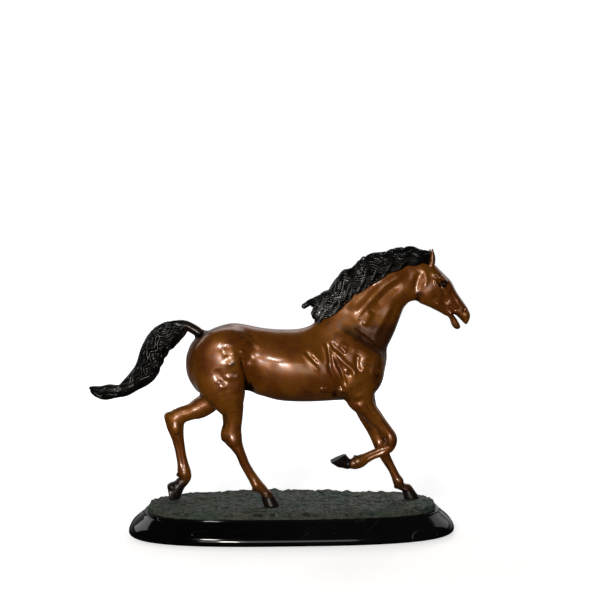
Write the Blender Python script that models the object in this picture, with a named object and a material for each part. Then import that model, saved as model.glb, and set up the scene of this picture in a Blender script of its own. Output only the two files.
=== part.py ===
"""Bronze statue of a walking horse on a bronze ground casting and a black marble base.

Metres, +Z up. +X points towards the horse's head and -Y towards its right side.
The origin is at the middle of the underside of the felt. Sizes below are in millimetres.
"""

import math

import bmesh
import bpy
from mathutils import Matrix, Vector

MM = 0.001
GAP = 0.3

# Base
BASE_TOP = 30.0
FELT_THICK = 1.2
FELT_HALF = (195.0, 68.5)
# (height, half length, half depth) of the marble's rings
MARBLE_RINGS = (
    (1.5, 200.5, 73.5),
    (3.2, 204.6, 77.2),
    (6.0, 206.9, 79.3),
    (9.5, 206.7, 79.1),
    (13.0, 205.2, 77.7),
    (16.5, 202.4, 75.0),
    (20.0, 198.4, 71.2),
    (23.5, 193.4, 67.2),
    (27.0, 188.6, 63.4),
    (30.0, 185.8, 61.0),
)
PLATE_HALF = (184.0, 59.5)
PLATE_SKIN = 4.5
BOLT_X, BOLT_Y = 118.0, 34.0
BOLT_R, BOLT_HOLE_R, COUNTERBORE_R, COUNTERBORE_TOP = 3.0, 3.4, 8.0, 12.0
BOLT_WASHER_R, BOLT_WASHER_THICK, BOLT_HEAD_R, BOLT_HEAD_HIGH = 6.2, 1.6, 5.5, 4.0
BOLT_TIP, TAPPED_TOP, BOSS_R, COVER = 34.4, 35.4, 7.5, 2.0
OVAL_POWER = 2.5
OVAL_STEPS = 48

# Feet that stand on the ground: (x, y) of the stud, height of the pad under the hoof
FEET = {
    "right_hind": (-29.5, -16.5, 36.8),
    "left_hind": (-150.0, 16.5, 39.7),
    "left_fore": (154.5, 13.5, 37.3),
}
PAD_R, PAD_EDGE = 20.0, 14.0
STUD_R, STUD_HOLE_R, STUD_DEPTH = 2.0, 2.3, 10.0
STUD_WASHER_R, STUD_WASHER_THICK, STUD_NUT_R, STUD_NUT_HIGH, STUD_TAIL = 5.0, 1.2, 4.0, 3.2, 4.2

# The heights in the horse's tables start this far below the underside of the base.
HORSE_DROP = 6.5
# Horse sections. Each is (x, z) of one edge, (x, z) of the opposite edge, y of the middle, half width.
BARREL = (
    (-133.2, 230, -133.2, 214, 0, 9),
    (-131, 240, -130, 203, 0, 18),
    (-125, 252, -123, 192, 0, 27),
    (-114, 261, -111, 184, 0, 34),
    (-98, 268.3, -95, 182, 0, 38),
    (-78, 273.5, -76, 184, 0, 38.5),
    (-58, 271.8, -57, 189, 0, 36),
    (-36, 267.8, -36, 182, 0, 34.5),
    (-12, 266, -12, 176, 0, 36.5),
    (14, 267.5, 14, 174.7, 0, 38),
    (38, 272, 38, 175, 0, 37),
    (61, 262, 60, 176, 0, 34.5),
    (82, 248, 80, 178, 0, 32.5),
    (101, 236, 99, 182, 0, 28),
    (113, 227.5, 111, 190, 0, 21),
    (120.5, 221, 119, 206, 0, 9),
)
NECK = (
    (22, 266, 108, 190, 0, 30),
    (36, 283, 121, 226, 0, 25),
    (52, 300, 123.5, 248, 0, 21.5),
    (70, 315, 130, 264, 0, 18.5),
    (90, 329, 136, 279, 0, 16.5),
    (111, 341, 142, 293, 0, 14.5),
    (133, 350, 149, 301.5, 0, 13),
    (155, 354.5, 157, 303.5, 0, 12.2),
    (172, 352.5, 164.5, 301.5, 0, 12),
)
NECK_JOINT = 1
HEAD = (
    (158, 351, 158, 304, 0, 10),
    (172, 352, 165, 300.5, 0, 12),
    (181, 348.5, 172, 296.5, 0, 12.8),
    (188.7, 341.3, 180, 292.6, 0, 13.6),
    (195.1, 335, 188, 289, 0, 13),
    (201.6, 328.6, 195, 286.5, 0, 10.6),
    (206.5, 320.5, 199.5, 285.5, 0, 8.8),
    (211, 312, 203.5, 285.2, 0, 7.8),
    (217.9, 301.9, 207, 284.5, 0, 7.4),
    (222.5, 295.5, 210, 283, 0, 7.8),
    (227, 286.5, 213, 280.5, 0, 8.2),
    (227.5, 280, 216.5, 276.7, 0, 7.2),
    (224.5, 274, 220.5, 273, 0, 4),
)
JAW = (
    (192, 297, 187, 289.2, 0, 8),
    (200, 290, 194.5, 284.7, 0, 7),
    (206, 285, 200, 280.6, 0, 6.2),
    (209.5, 280.5, 202.6, 275.6, 0, 5.8),
    (213, 275.5, 204.8, 270, 0, 6),
    (215.3, 271, 208.5, 266, 0, 5.2),
    (215.4, 268, 212.4, 265.6, 0, 3),
)
MANE = (
    (177, 365.5, 174, 351, 0, 6),
    (165, 368, 163, 346, 0, 12),
    (150, 371, 150, 344, 0, 13),
    (130, 369.5, 134, 339, 0, 14),
    (112, 364.5, 119, 333, 0, 14.5),
    (96, 359.5, 104, 325, 0, 15),
    (80, 347, 92, 316.5, 0, 15.5),
    (64, 340, 78, 307, 0, 16),
    (52, 325, 65, 295, 0, 16),
    (39, 312, 52, 285, 0, 15),
    (25, 304.5, 38, 277, 0, 12),
    (17, 298.5, 26, 281, 0, 6),
)
TAIL = (
    (-104, 258, -110, 247, 0, 5),
    (-116, 268, -121, 256.5, 0, 6),
    (-125, 274, -129, 261.5, 0, 6.5),
    (-136, 278, -135.5, 262, 0, 7.5),
    (-150, 278, -142, 252.5, 0, 9.5),
    (-163, 273.5, -149, 244.5, 0, 11),
    (-175, 264, -157, 237, 0, 11.5),
    (-185, 252, -163, 226, 0, 11.5),
    (-192, 239, -168.5, 215.5, 0, 11),
    (-197.5, 224, -174, 204.5, 0, 10.5),
    (-205, 213, -183.5, 196.5, 0, 10),
    (-212.6, 202.5, -196.5, 190, 0, 9.5),
    (-222.5, 197.2, -210.5, 182.5, 0, 8.5),
    (-236, 195.2, -226, 179.8, 0, 7.5),
    (-247.5, 193.8, -241, 178.2, 0, 5.5),
    (-255.5, 192.8, -251.5, 187.5, 0, 2.5),
)
RIGHT_HIND = (
    (-58, 225, -122, 222, -18, 17),
    (-56, 208, -124, 202, -19.5, 17),
    (-59.2, 193, -117.6, 186.7, -19.5, 15.2),
    (-61.8, 179, -107, 177, -18.8, 12.8),
    (-62.6, 166.3, -96, 166.6, -17.6, 10.4),
    (-64.4, 153.6, -89.7, 153.7, -16.5, 8.8),
    (-65.7, 141, -89, 141.1, -16.5, 8),
    (-65, 132, -90, 131.4, -16.5, 8.2),
    (-63, 121.8, -83.5, 122.5, -16.5, 7.6),
    (-59.4, 109.1, -73, 109.5, -16.5, 5.8),
    (-55.5, 98.6, -66.6, 98.8, -16.5, 5.1),
    (-50.4, 88.2, -60.6, 88, -16.5, 5),
    (-44.4, 79.7, -55.6, 78.6, -16.5, 5.5),
    (-39.2, 72, -52.2, 69, -16.5, 6.6),
    (-34.4, 67, -49, 61, -16.5, 6.2),
    (-30.2, 62, -42.6, 57.6, -16.5, 6),
    (-25.6, 56.4, -40.2, 55, -16.5, 7.4),
    (-17.4, 43.6, -37, 43.6, -16.5, 9.4),
)
LEFT_HIND = (
    (-60, 225, -124, 222, 18, 17),
    (-64, 206, -130, 205, 19.5, 17),
    (-76, 186, -126, 190, 19.5, 15.2),
    (-91, 165, -121.5, 179, 18.8, 12.4),
    (-106, 156.8, -130.3, 171.6, 17.6, 10.2),
    (-120, 151.4, -139.5, 165, 16.5, 8.8),
    (-131.5, 148.2, -150, 160, 16.5, 8.2),
    (-137, 143.9, -163.4, 154, 16.5, 8.2),
    (-139.2, 138.6, -161.4, 146.4, 16.5, 8),
    (-139.8, 130.5, -158.4, 137.4, 16.5, 7.6),
    (-139.2, 121, -153.4, 125.4, 16.5, 6),
    (-137.6, 111, -149.8, 113.4, 16.5, 5.1),
    (-135.2, 101, -147.4, 102, 16.5, 5),
    (-132.8, 91.5, -146.4, 91, 16.5, 5.3),
    (-129.8, 80.5, -147.2, 79.5, 16.5, 6.6),
    (-129.6, 72.5, -147.4, 74, 16.5, 6.6),
    (-133, 66.5, -147.2, 71, 16.5, 6.2),
    (-138, 60.5, -152, 69.6, 16.5, 7.4),
    (-147.2, 46.5, -159.4, 63, 16.5, 9.4),
)
RIGHT_FORE = (
    (108, 214, 62, 205, -16, 14),
    (105, 195, 63, 190, -17, 13),
    (103, 184, 66.5, 178, -17, 12),
    (104, 176.5, 75.5, 167.5, -16.4, 10.8),
    (108, 168, 85, 160.8, -15.5, 9.6),
    (114.3, 158.5, 93, 154.2, -14.5, 8.8),
    (120.7, 148.5, 102, 145.8, -14.5, 8),
    (127.2, 139.5, 110.6, 137, -14.5, 7.6),
    (132, 131, 117.4, 129.4, -14.5, 7.6),
    (131.4, 121.2, 118, 124.6, -14.5, 7.4),
    (124, 112, 116.2, 120.6, -14.5, 6.8),
    (113.3, 107.4, 109, 117.2, -14.5, 5.6),
    (104.4, 103.4, 100.4, 113.8, -14.5, 5),
    (95.5, 98.6, 91, 110, -14.5, 5.2),
    (88.4, 93.6, 82.8, 108, -14.5, 6.4),
    (80.5, 90.4, 77, 106.4, -14.5, 6.4),
    (74.6, 91.4, 74.4, 103.4, -14.5, 6),
    (69.5, 91, 71.8, 105.4, -14.5, 7.2),
    (48.8, 99.6, 67.2, 109.6, -14.5, 9),
)
LEFT_FORE = (
    (110, 214, 64, 205, 16, 14),
    (110, 195, 66, 190, 17, 13),
    (110.5, 183, 71, 175, 16.4, 12),
    (112, 168, 81, 161.6, 15, 10.4),
    (114, 155, 87.4, 150, 13.5, 9.2),
    (117, 141, 93.6, 137, 13.5, 8.2),
    (121, 128, 100.2, 125.5, 13.5, 7.6),
    (124.6, 117, 105.6, 114.4, 13.5, 7.8),
    (126.4, 110, 109.4, 108.4, 13.5, 7.2),
    (128.6, 103.4, 114.8, 100, 13.5, 6),
    (133, 94, 121.6, 90.6, 13.5, 5.2),
    (138, 84, 127.8, 81, 13.5, 5.1),
    (142.8, 74.6, 131.8, 72.8, 13.5, 5.8),
    (147.6, 67, 134, 66, 13.5, 6.6),
    (150.8, 63.2, 136.4, 59.6, 13.5, 6.2),
    (155, 60, 141.4, 57.2, 13.5, 6.2),
    (160, 56.4, 144.8, 55.4, 13.5, 7.6),
    (165, 44.1, 147, 44.1, 13.5, 9.4),
)
# Leg castings start at these sections, the ones before them belong to the torso.
LEGS = {
    "right_hind": (RIGHT_HIND, 4),
    "left_hind": (LEFT_HIND, 4),
    "right_fore": (RIGHT_FORE, 4),
    "left_fore": (LEFT_FORE, 3),
}
SPIGOT_R, SPIGOT_LENGTH = 5.0, 11.0
TAIL_SPIGOT = ((-121, 264), (-106, 253))
WALL = 4.0
EYE = (191.2, 12.0, 324.2, 3.3)
EARS = ((175.5, 348), (180.6, 356.5), (177.2, 369.2))

SOFT_EDGE = math.radians(40)


def clear_scene():
    for old in list(bpy.data.objects):
        bpy.data.objects.remove(old, do_unlink=True)


def material(name, colour, metallic, roughness):
    made = bpy.data.materials.new(name)
    made.use_nodes = True
    shader = made.node_tree.nodes["Principled BSDF"]
    shader.inputs["Base Color"].default_value = (*colour, 1)
    shader.inputs["Metallic"].default_value = metallic
    shader.inputs["Roughness"].default_value = roughness
    made.diffuse_color = (*colour, 1)
    return made


def solid(name, points, faces):
    """A mesh object from points in millimetres."""
    mesh = bpy.data.meshes.new(name)
    mesh.from_pydata([Vector(p) * MM for p in points], [], faces)
    body = bmesh.new()
    body.from_mesh(mesh)
    bmesh.ops.recalc_face_normals(body, faces=body.faces)
    body.to_mesh(mesh)
    body.free()
    made = bpy.data.objects.new(name, mesh)
    bpy.context.scene.collection.objects.link(made)
    return made


def loft(name, rings):
    """A closed solid through rings that all hold the same number of points."""
    count = len(rings[0])
    points = [p for ring in rings for p in ring]
    faces = [tuple(range(count)), tuple(range(len(points) - count, len(points)))]
    for start in range(0, len(points) - count, count):
        for i in range(count):
            j = (i + 1) % count
            faces.append((start + i, start + j, start + count + j, start + count + i))
    return solid(name, points, faces)


def signed_power(value, power):
    return math.copysign(abs(value) ** power, value)


def section_ring(section, grow, steps, power):
    xa, za, xb, zb, y, half = section
    middle = Vector(((xa + xb) / 2, y, (za + zb) / 2))
    axis = Vector(((xa - xb) / 2, 0, (za - zb) / 2))
    axis *= 1 + grow / axis.length
    side = Vector((0, half + grow, 0))
    ring = []
    for i in range(steps):
        turn = 2 * math.pi * (i + 0.5) / steps
        along = signed_power(math.cos(turn), 2 / power)
        across = signed_power(math.sin(turn), 2 / power)
        ring.append(middle + axis * along + side * across)
    return ring


def section_loft(name, sections, grow=0.0, steps=20, power=2.2):
    return loft(name, [section_ring(s, grow, steps, power) for s in sections])


def rod(name, start, end, radius, steps=16):
    """A straight round or many-sided rod between two points."""
    start, end = Vector(start), Vector(end)
    axis = (end - start).normalized()
    across = axis.orthogonal().normalized()
    up = axis.cross(across)
    rings = []
    turns = [2 * math.pi * i / steps for i in range(steps)]
    for centre in (start, end):
        rings.append([centre + (across * math.cos(t) + up * math.sin(t)) * radius for t in turns])
    return loft(name, rings)


def combine(target, other, operation, keep=False):
    """Joins or cuts target with other, which is dropped unless it is kept."""
    joint = target.modifiers.new("joint", "BOOLEAN")
    joint.operation = operation
    joint.solver = "EXACT"
    joint.object = other
    graph = bpy.context.evaluated_depsgraph_get()
    mesh = bpy.data.meshes.new_from_object(target.evaluated_get(graph))
    target.modifiers.clear()
    target.data = mesh
    if not keep:
        bpy.data.objects.remove(other, do_unlink=True)


def set_down(piece):
    """Moves a casting of the horse from the level of its tables to its place on the base."""
    piece.data.transform(Matrix.Translation((0, 0, -HORSE_DROP * MM)))


def finish(piece, surface):
    piece.data.materials.clear()
    piece.data.materials.append(surface)
    piece.data.shade_smooth()
    piece.data.set_sharp_from_angle(angle=SOFT_EDGE)


def oval_ring(half_x, half_y, height):
    ring = []
    for i in range(OVAL_STEPS):
        turn = 2 * math.pi * i / OVAL_STEPS
        x = half_x * signed_power(math.cos(turn), 2 / OVAL_POWER)
        y = half_y * signed_power(math.sin(turn), 2 / OVAL_POWER)
        ring.append((x, y, height(x, y) if callable(height) else height))
    return ring


def ground_height(x, y):
    """The modelled earth: a low mound towards the back, flat under each hoof."""
    mound = 2.6 * math.exp(-(((x + 15) / 80) ** 2)) * (0.5 + y / 120)
    lumps = 0.5 * math.sin(x / 15 + 0.6) * math.cos(y / 12) + 0.4 * math.sin(x / 8 + y / 10)
    height = 37.6 + mound + lumps
    for foot_x, foot_y, pad in FEET.values():
        far = math.hypot(x - foot_x, y - foot_y)
        share = min(max((far - PAD_R) / PAD_EDGE, 0), 1)
        height = pad + (height - pad) * share * share * (3 - 2 * share)
    return height


def ground_solid(name, inset, bottom, drop):
    """The ground casting's outer shape, or its hollow when it is inset and dropped."""
    half_x, half_y = PLATE_HALF[0] - inset, PLATE_HALF[1] - inset

    def top(x, y):
        return ground_height(x, y) - drop

    rings = [oval_ring(half_x, half_y, bottom)]
    rings.append(oval_ring(half_x, half_y, lambda x, y: top(x, y) - 3))
    for share in (0.97, 0.88, 0.72, 0.54, 0.36, 0.18):
        rings.append(oval_ring(half_x * share, half_y * share, top))
    return loft(name, rings)


def base_pieces(stone, felt, bronze, steel):
    marble = loft("marble_base", [oval_ring(a, b, z) for z, a, b in MARBLE_RINGS])
    plate = ground_solid("ground_plate", 0, BASE_TOP + GAP, 0)
    combine(plate, ground_solid("hollow", PLATE_SKIN, BASE_TOP - 1, PLATE_SKIN), "DIFFERENCE")
    for i, (sx, sy) in enumerate(((-1, -1), (1, -1), (-1, 1), (1, 1)), 1):
        x, y = sx * BOLT_X, sy * BOLT_Y
        bore_marble(marble, x, y, BOLT_HOLE_R)
        add_boss(plate, x, y, ground_height(x, y) - COVER)
        combine(plate, rod("tapped", (x, y, BASE_TOP - 4), (x, y, TAPPED_TOP), BOLT_HOLE_R), "DIFFERENCE")
        base_bolt(i, x, y, steel)
    for foot, (x, y, pad) in FEET.items():
        bore_marble(marble, x, y, STUD_HOLE_R)
        add_boss(plate, x, y, pad - COVER)
        combine(plate, rod("bore", (x, y, BASE_TOP - 4), (x, y, pad + 12), STUD_HOLE_R), "DIFFERENCE")
        stud_pieces(foot, x, y, pad, steel)
    sheet = loft("felt_sheet", [oval_ring(*FELT_HALF, z) for z in (0, FELT_THICK)])
    finish(marble, stone)
    finish(plate, bronze)
    finish(sheet, felt)


def bore_marble(marble, x, y, radius):
    """A bolt or stud hole through the stone, with a seat for its washer in the underside."""
    combine(marble, rod("bore", (x, y, 0), (x, y, BASE_TOP + 3), radius), "DIFFERENCE")
    combine(marble, rod("seat", (x, y, 0), (x, y, COUNTERBORE_TOP), COUNTERBORE_R, 20), "DIFFERENCE")


def add_boss(plate, x, y, top):
    """Solid metal inside the ground casting, round a hole."""
    combine(plate, rod("boss", (x, y, BASE_TOP + 2 * GAP), (x, y, top), BOSS_R, 16), "UNION")


def ring_piece(name, x, y, low, high, outer, inner, surface, steps=18):
    """A washer, or a hexagon nut when it has six steps."""
    ring = rod(name, (x, y, low), (x, y, high), outer, steps)
    combine(ring, rod("hole", (x, y, low - 2), (x, y, high + 2), inner), "DIFFERENCE")
    finish(ring, surface)


def base_bolt(number, x, y, steel):
    washer_top = COUNTERBORE_TOP - GAP
    washer_low = washer_top - BOLT_WASHER_THICK
    name = f"base_washer_{number}"
    ring_piece(name, x, y, washer_low, washer_top, BOLT_WASHER_R, BOLT_HOLE_R, steel)
    under_head = washer_low - GAP
    head = (x, y, under_head - BOLT_HEAD_HIGH), (x, y, under_head)
    bolt = rod(f"base_bolt_{number}", *head, BOLT_HEAD_R, 6)
    combine(bolt, rod("shank", (x, y, under_head - 2), (x, y, BOLT_TIP), BOLT_R), "UNION")
    finish(bolt, steel)


def stud_pieces(foot, x, y, pad, steel):
    """The stud that holds a hoof down, with its washer and nut in the underside of the stone."""
    washer_top = COUNTERBORE_TOP - GAP
    washer_low = washer_top - STUD_WASHER_THICK
    nut_top = washer_low - GAP
    stud = rod(f"{foot}_stud", (x, y, nut_top - STUD_TAIL), (x, y, pad + STUD_DEPTH), STUD_R)
    finish(stud, steel)
    ring_piece(f"{foot}_washer", x, y, washer_low, washer_top, STUD_WASHER_R, STUD_HOLE_R, steel)
    nut = nut_top - STUD_NUT_HIGH, nut_top
    ring_piece(f"{foot}_nut", x, y, *nut, STUD_NUT_R, STUD_HOLE_R, steel, 6)


def middle_of(section):
    xa, za, xb, zb, y, _ = section
    return Vector(((xa + xb) / 2, y, (za + zb) / 2))


def leg_axis(sections, joint):
    """The middle of a leg's joint and the unit direction from it up into the torso."""
    start = middle_of(sections[joint])
    xa, za, xb, zb = sections[joint][:4]
    across = Vector((xa - xb, 0, za - zb)).normalized()
    up = Vector((-across.z, 0, across.x))
    return start, up if up.z > 0 else -up


def torso_piece(bronze):
    torso = section_loft("torso", BARREL, steps=24)
    combine(torso, section_loft("neck_root", NECK[: NECK_JOINT + 1]), "UNION")
    for sections, joint in LEGS.values():
        combine(torso, section_loft("limb", sections[: joint + 1], steps=16), "UNION")
    combine(torso, section_loft("hollow", BARREL[2:-2], -WALL, 16), "DIFFERENCE")
    mouth = list(NECK[: NECK_JOINT + 1])
    crest = Vector((NECK[2][0] - NECK[1][0], 0, NECK[2][1] - NECK[1][1]))
    mouth.append(shifted(NECK[NECK_JOINT], crest.normalized() * 4))
    combine(torso, section_loft("neck_mouth", mouth, -WALL, 16), "DIFFERENCE")
    for sections, joint in LEGS.values():
        start, up = leg_axis(sections, joint)
        reach = start + up * (SPIGOT_LENGTH + GAP)
        combine(torso, rod("socket", start - up * 3, reach, SPIGOT_R + GAP), "DIFFERENCE")
    (xa, za), (xb, zb) = TAIL_SPIGOT
    out = Vector((xa - xb, 0, za - zb)).normalized()
    end = Vector((xb, 0, zb)) - out * 4
    combine(torso, rod("socket", Vector((xa, 0, za)) + out * 6, end, 4 + GAP), "DIFFERENCE")
    finish(torso, bronze)
    set_down(torso)


def shifted(section, move):
    xa, za, xb, zb, y, half = section
    return (xa + move.x, za + move.z, xb + move.x, zb + move.z, y, half)


def neck_piece(bronze):
    """The neck and head casting, hollow from its open end, with a collar that enters the torso."""
    joint = NECK[NECK_JOINT]
    up = Vector((joint[3] - joint[1], 0, joint[0] - joint[2])).normalized()
    up = up if up.z > 0 else -up
    start = shifted(joint, up * GAP)
    neck = section_loft("neck_and_head", [start, *NECK[NECK_JOINT + 1 :]])
    collar = [shifted(joint, up * -7), shifted(joint, up * 3)]
    combine(neck, section_loft("collar", collar, -WALL - GAP, 16), "UNION")
    combine(neck, section_loft("head", HEAD), "UNION")
    combine(neck, section_loft("jaw", JAW, steps=12), "UNION")
    for side in (-1, 1):
        x, y, z, r = EYE
        combine(neck, ball("eye", (x, side * y, z), r), "UNION")
        combine(neck, ear(side), "UNION")
    inside = [shifted(joint, up * -12), joint, *NECK[NECK_JOINT + 1 : -2]]
    combine(neck, section_loft("hollow", inside, -2 * WALL, 16), "DIFFERENCE")
    finish(neck, bronze)
    set_down(neck)


def ball(name, centre, radius):
    rings = []
    for i in range(1, 8):
        lift = math.pi * i / 8
        ring = radius * math.sin(lift)
        turns = [2 * math.pi * j / 12 for j in range(12)]
        x, y, z = centre
        level = z - radius * math.cos(lift)
        rings.append([(x + ring * math.cos(t), y + ring * math.sin(t), level) for t in turns])
    return loft(name, rings)


def ear(side):
    """A pointed ear: wide in the middle, with its lower end inside the head."""
    (x0, z0), (x1, z1), (x2, z2) = EARS
    rings = []
    for x, z, y, long, thin in (
        (x0, z0, 6.5, 3.6, 2.6),
        (x1 - 1.5, z1 - 1, 7.6, 4.2, 2.9),
        ((x1 + x2) / 2 - 0.6, (z1 + z2) / 2, 8.2, 3, 2.1),
        (x2, z2 - 1, 8.4, 0.8, 0.6),
    ):
        turns = [2 * math.pi * i / 12 for i in range(12)]
        rings.append([(x + long * math.cos(t), side * y + thin * math.sin(t), z) for t in turns])
    return loft("ear", rings)


def hair_pieces(dark_bronze):
    mane = section_loft("mane", MANE, steps=20, power=2.4)
    cut = [
        section_loft("neck_cut", NECK, GAP),
        section_loft("head_cut", HEAD, GAP),
        section_loft("torso_cut", BARREL, GAP, 24),
    ]
    for other in cut[:2]:
        combine(mane, other, "DIFFERENCE")
    for side in (-1, 1):
        combine(mane, rod("ear_cut", (176, side * 4.4, 340), (179, side * 13, 372), 6.2), "DIFFERENCE")
    tail = section_loft("tail", TAIL, steps=20)
    combine(mane, cut[2], "DIFFERENCE", keep=True)
    combine(tail, cut[2], "DIFFERENCE")
    (xa, za), (xb, zb) = TAIL_SPIGOT
    combine(tail, rod("spigot", (xa, 0, za), (xb, 0, zb), 4), "UNION")
    for hair in (mane, tail):
        finish(hair, dark_bronze)
        set_down(hair)


def leg_piece(name, bronze):
    sections, joint = LEGS[name]
    start, up = leg_axis(sections, joint)
    first = shifted(sections[joint], up * -GAP)
    leg = section_loft(f"{name}_leg", [first, *sections[joint + 1 :]], steps=16)
    combine(leg, rod("spigot", start - up * 4, start + up * SPIGOT_LENGTH, SPIGOT_R), "UNION")
    if name in FEET:
        x, y, pad = FEET[name]
        pad += HORSE_DROP
        top = pad + GAP + STUD_DEPTH
        combine(leg, rod("stud_hole", (x, y, pad - 4), (x, y, top), STUD_HOLE_R), "DIFFERENCE")
    finish(leg, bronze)
    set_down(leg)


def main():
    clear_scene()
    bronze = material("brown_bronze", (0.23, 0.13, 0.055), 1.0, 0.32)
    dark_bronze = material("dark_bronze", (0.06, 0.04, 0.025), 1.0, 0.38)
    patina = material("green_patina", (0.10, 0.12, 0.085), 0.7, 0.6)
    stone = material("black_marble", (0.012, 0.012, 0.014), 0.0, 0.12)
    felt = material("black_felt", (0.02, 0.02, 0.02), 0.0, 0.95)
    steel = material("plain_steel", (0.55, 0.55, 0.56), 1.0, 0.35)
    base_pieces(stone, felt, patina, steel)
    torso_piece(bronze)
    neck_piece(bronze)
    hair_pieces(dark_bronze)
    for name in LEGS:
        leg_piece(name, bronze)


main()
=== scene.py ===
"""Looks of the bronze horse statue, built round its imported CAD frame.

The horse, its hair and its ground are modelled as distance fields on a grid, in millimetres,
and the grid's zero surface becomes the mesh of each casting.
"""

import math
from copy import copy
from itertools import product

import bmesh
import bpy
import numpy as np
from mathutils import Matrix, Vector


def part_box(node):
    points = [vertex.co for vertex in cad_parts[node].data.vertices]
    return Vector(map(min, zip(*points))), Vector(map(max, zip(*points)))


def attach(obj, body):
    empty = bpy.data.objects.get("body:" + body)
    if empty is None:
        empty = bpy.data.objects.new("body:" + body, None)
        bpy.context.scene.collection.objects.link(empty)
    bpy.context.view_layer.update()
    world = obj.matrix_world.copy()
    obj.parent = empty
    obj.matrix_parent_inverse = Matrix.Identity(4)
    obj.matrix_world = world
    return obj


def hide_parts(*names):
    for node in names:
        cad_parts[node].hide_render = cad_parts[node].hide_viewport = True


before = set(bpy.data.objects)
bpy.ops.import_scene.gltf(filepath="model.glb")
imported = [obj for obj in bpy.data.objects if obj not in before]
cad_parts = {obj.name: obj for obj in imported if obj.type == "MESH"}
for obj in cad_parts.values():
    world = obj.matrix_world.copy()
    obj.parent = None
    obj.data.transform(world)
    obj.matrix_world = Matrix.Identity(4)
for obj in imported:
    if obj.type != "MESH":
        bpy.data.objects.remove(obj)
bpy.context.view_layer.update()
MM = 0.001
FAR = 60.0

# ---------------------------------------------------------------- places, from the frame


def node_box(name):
    """Lowest and highest corner of a CAD node, in millimetres."""
    return np.array(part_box(name)) / MM


def add_object(name, data):
    """A new object in the scene."""
    made = bpy.data.objects.new(name, data)
    bpy.context.scene.collection.objects.link(made)
    return made


TORSO_BOX = node_box("torso")
PLATE_BOX = node_box("ground_plate")
MARBLE_BOX = node_box("marble_base")
FELT_BOX = node_box("felt_sheet")
# The horse's numbers below suit a rump at x -133.2 and a right hind sole at z 43.6.
SHIFT = np.array((TORSO_BOX[0][0] + 133.2, 0, node_box("right_hind_leg")[0][2] - 43.6))
# Middle of each stud and the level of the sole above it, in the horse's numbers
STUDS = {}
for foot in ("right_hind", "left_hind", "left_fore"):
    stud_low, stud_high = node_box(f"{foot}_stud")
    stud_x, stud_y = (stud_low + stud_high)[:2] / 2 - SHIFT[:2]
    STUDS[foot] = (stud_x, stud_y, node_box(f"{foot}_leg")[0][2] - SHIFT[2])
BOLTS = [tuple(sum(node_box(f"base_bolt_{i}"))[:2] / 2) for i in range(1, 5)]
STUD_HOLE_R, BOLT_HOLE_R = 2.3, 3.4
# Holes through the stone and the ground: x, y, radius
HOLES = [(*bolt, BOLT_HOLE_R) for bolt in BOLTS] + [(*stud[:2], STUD_HOLE_R) for stud in STUDS.values()]

# ---------------------------------------------------------------- distance fields


class Field:
    """Distances on a box-shaped grid, negative inside the shape."""

    def __init__(self, low, high, step):
        self.step = step
        self.low = np.array(low, float)
        count = np.ceil((np.array(high, float) - self.low) / step).astype(int) + 1
        self.axes = [self.low[i] + step * np.arange(count[i]) for i in range(3)]
        self.d = np.full(count, FAR, np.float32)

    def window(self, low, high):
        """Slices of the cells in a box, with their open x, y and z, or None if it misses the grid."""
        cut = tuple(slice(*np.searchsorted(axis, ends)) for axis, ends in zip(self.axes, zip(low, high)))
        if any(part.start == part.stop for part in cut):
            return None
        return cut, *np.ix_(*(axis[part].astype(np.float32) for axis, part in zip(self.axes, cut)))

    def open_axes(self):
        """Open x, y and z of the whole grid."""
        return np.ix_(*(axis.astype(np.float32) for axis in self.axes))

    def part(self):
        """An empty field on the same grid."""
        other = copy(self)
        other.d = np.full_like(self.d, FAR)
        return other

    def misses(self, low, high):
        return any(self.axes[i][-1] < low[i] or self.axes[i][0] > high[i] for i in range(3))

    def sample(self, points):
        """Distances at free points, interpolated between cells."""
        place = np.clip((points - self.low) / self.step, 0, np.array(self.d.shape) - 1.001)
        cell = place.astype(int)
        found = np.zeros(len(points), np.float32)
        for corner, weight in corners((place - cell).astype(np.float32).T):
            found += weight * self.d[tuple((cell + corner).T)]
        return found

    def slope(self, points, reach=None):
        reach = reach or self.step
        found = [self.sample(points + move) - self.sample(points - move) for move in reach * np.eye(3)]
        return np.column_stack(found).astype(float) / (2 * reach)


def corners(shares):
    """Each corner of a cell, with its weight for a place at these shares of the way across."""
    for corner in product((0, 1), repeat=3):
        wx, wy, wz = (share if c else 1 - share for share, c in zip(shares, corner))
        yield corner, wx * wy * wz


def smoothstep(value, low, high):
    """0 at low and 1 at high, level at both. Low may lie above high."""
    t = np.clip((value - low) / (high - low), 0, 1)
    return t * t * (3 - 2 * t)


def soft_min(a, b, blend):
    """The smaller of two distances, with a fillet where they meet."""
    if blend <= 0:
        return np.minimum(a, b)
    near = np.maximum(blend - np.abs(a - b), 0) / blend
    return np.minimum(a, b) - near * near * (blend / 4)


def soft_max(a, b, blend):
    return -soft_min(-a, -b, blend)


def smooth_path(points, per_span):
    """A Catmull-Rom curve through points of any dimension."""
    p = np.asarray(points, float)
    p = np.vstack([2 * p[0] - p[1], p, 2 * p[-1] - p[-2]])
    t = (np.arange(per_span) / per_span)[:, None]
    spans = []
    for a, b, c, d in zip(p, p[1:], p[2:], p[3:]):
        cubic = (3 * b - a - 3 * c + d) * t**3
        spans.append(0.5 * (2 * b + (c - a) * t + (2 * a - 5 * b + 4 * c - d) * t * t + cubic))
    return np.vstack([*spans, p[-2][None]])


def lengths(path):
    """Distance along a path at each of its points."""
    return np.concatenate([[0], np.cumsum(np.linalg.norm(np.diff(path, axis=0), axis=1))])


def resampled(path, shares):
    """Points at these shares of a path's length."""
    along = lengths(path)
    return np.column_stack([np.interp(shares * along[-1], along, column) for column in path.T])


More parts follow.
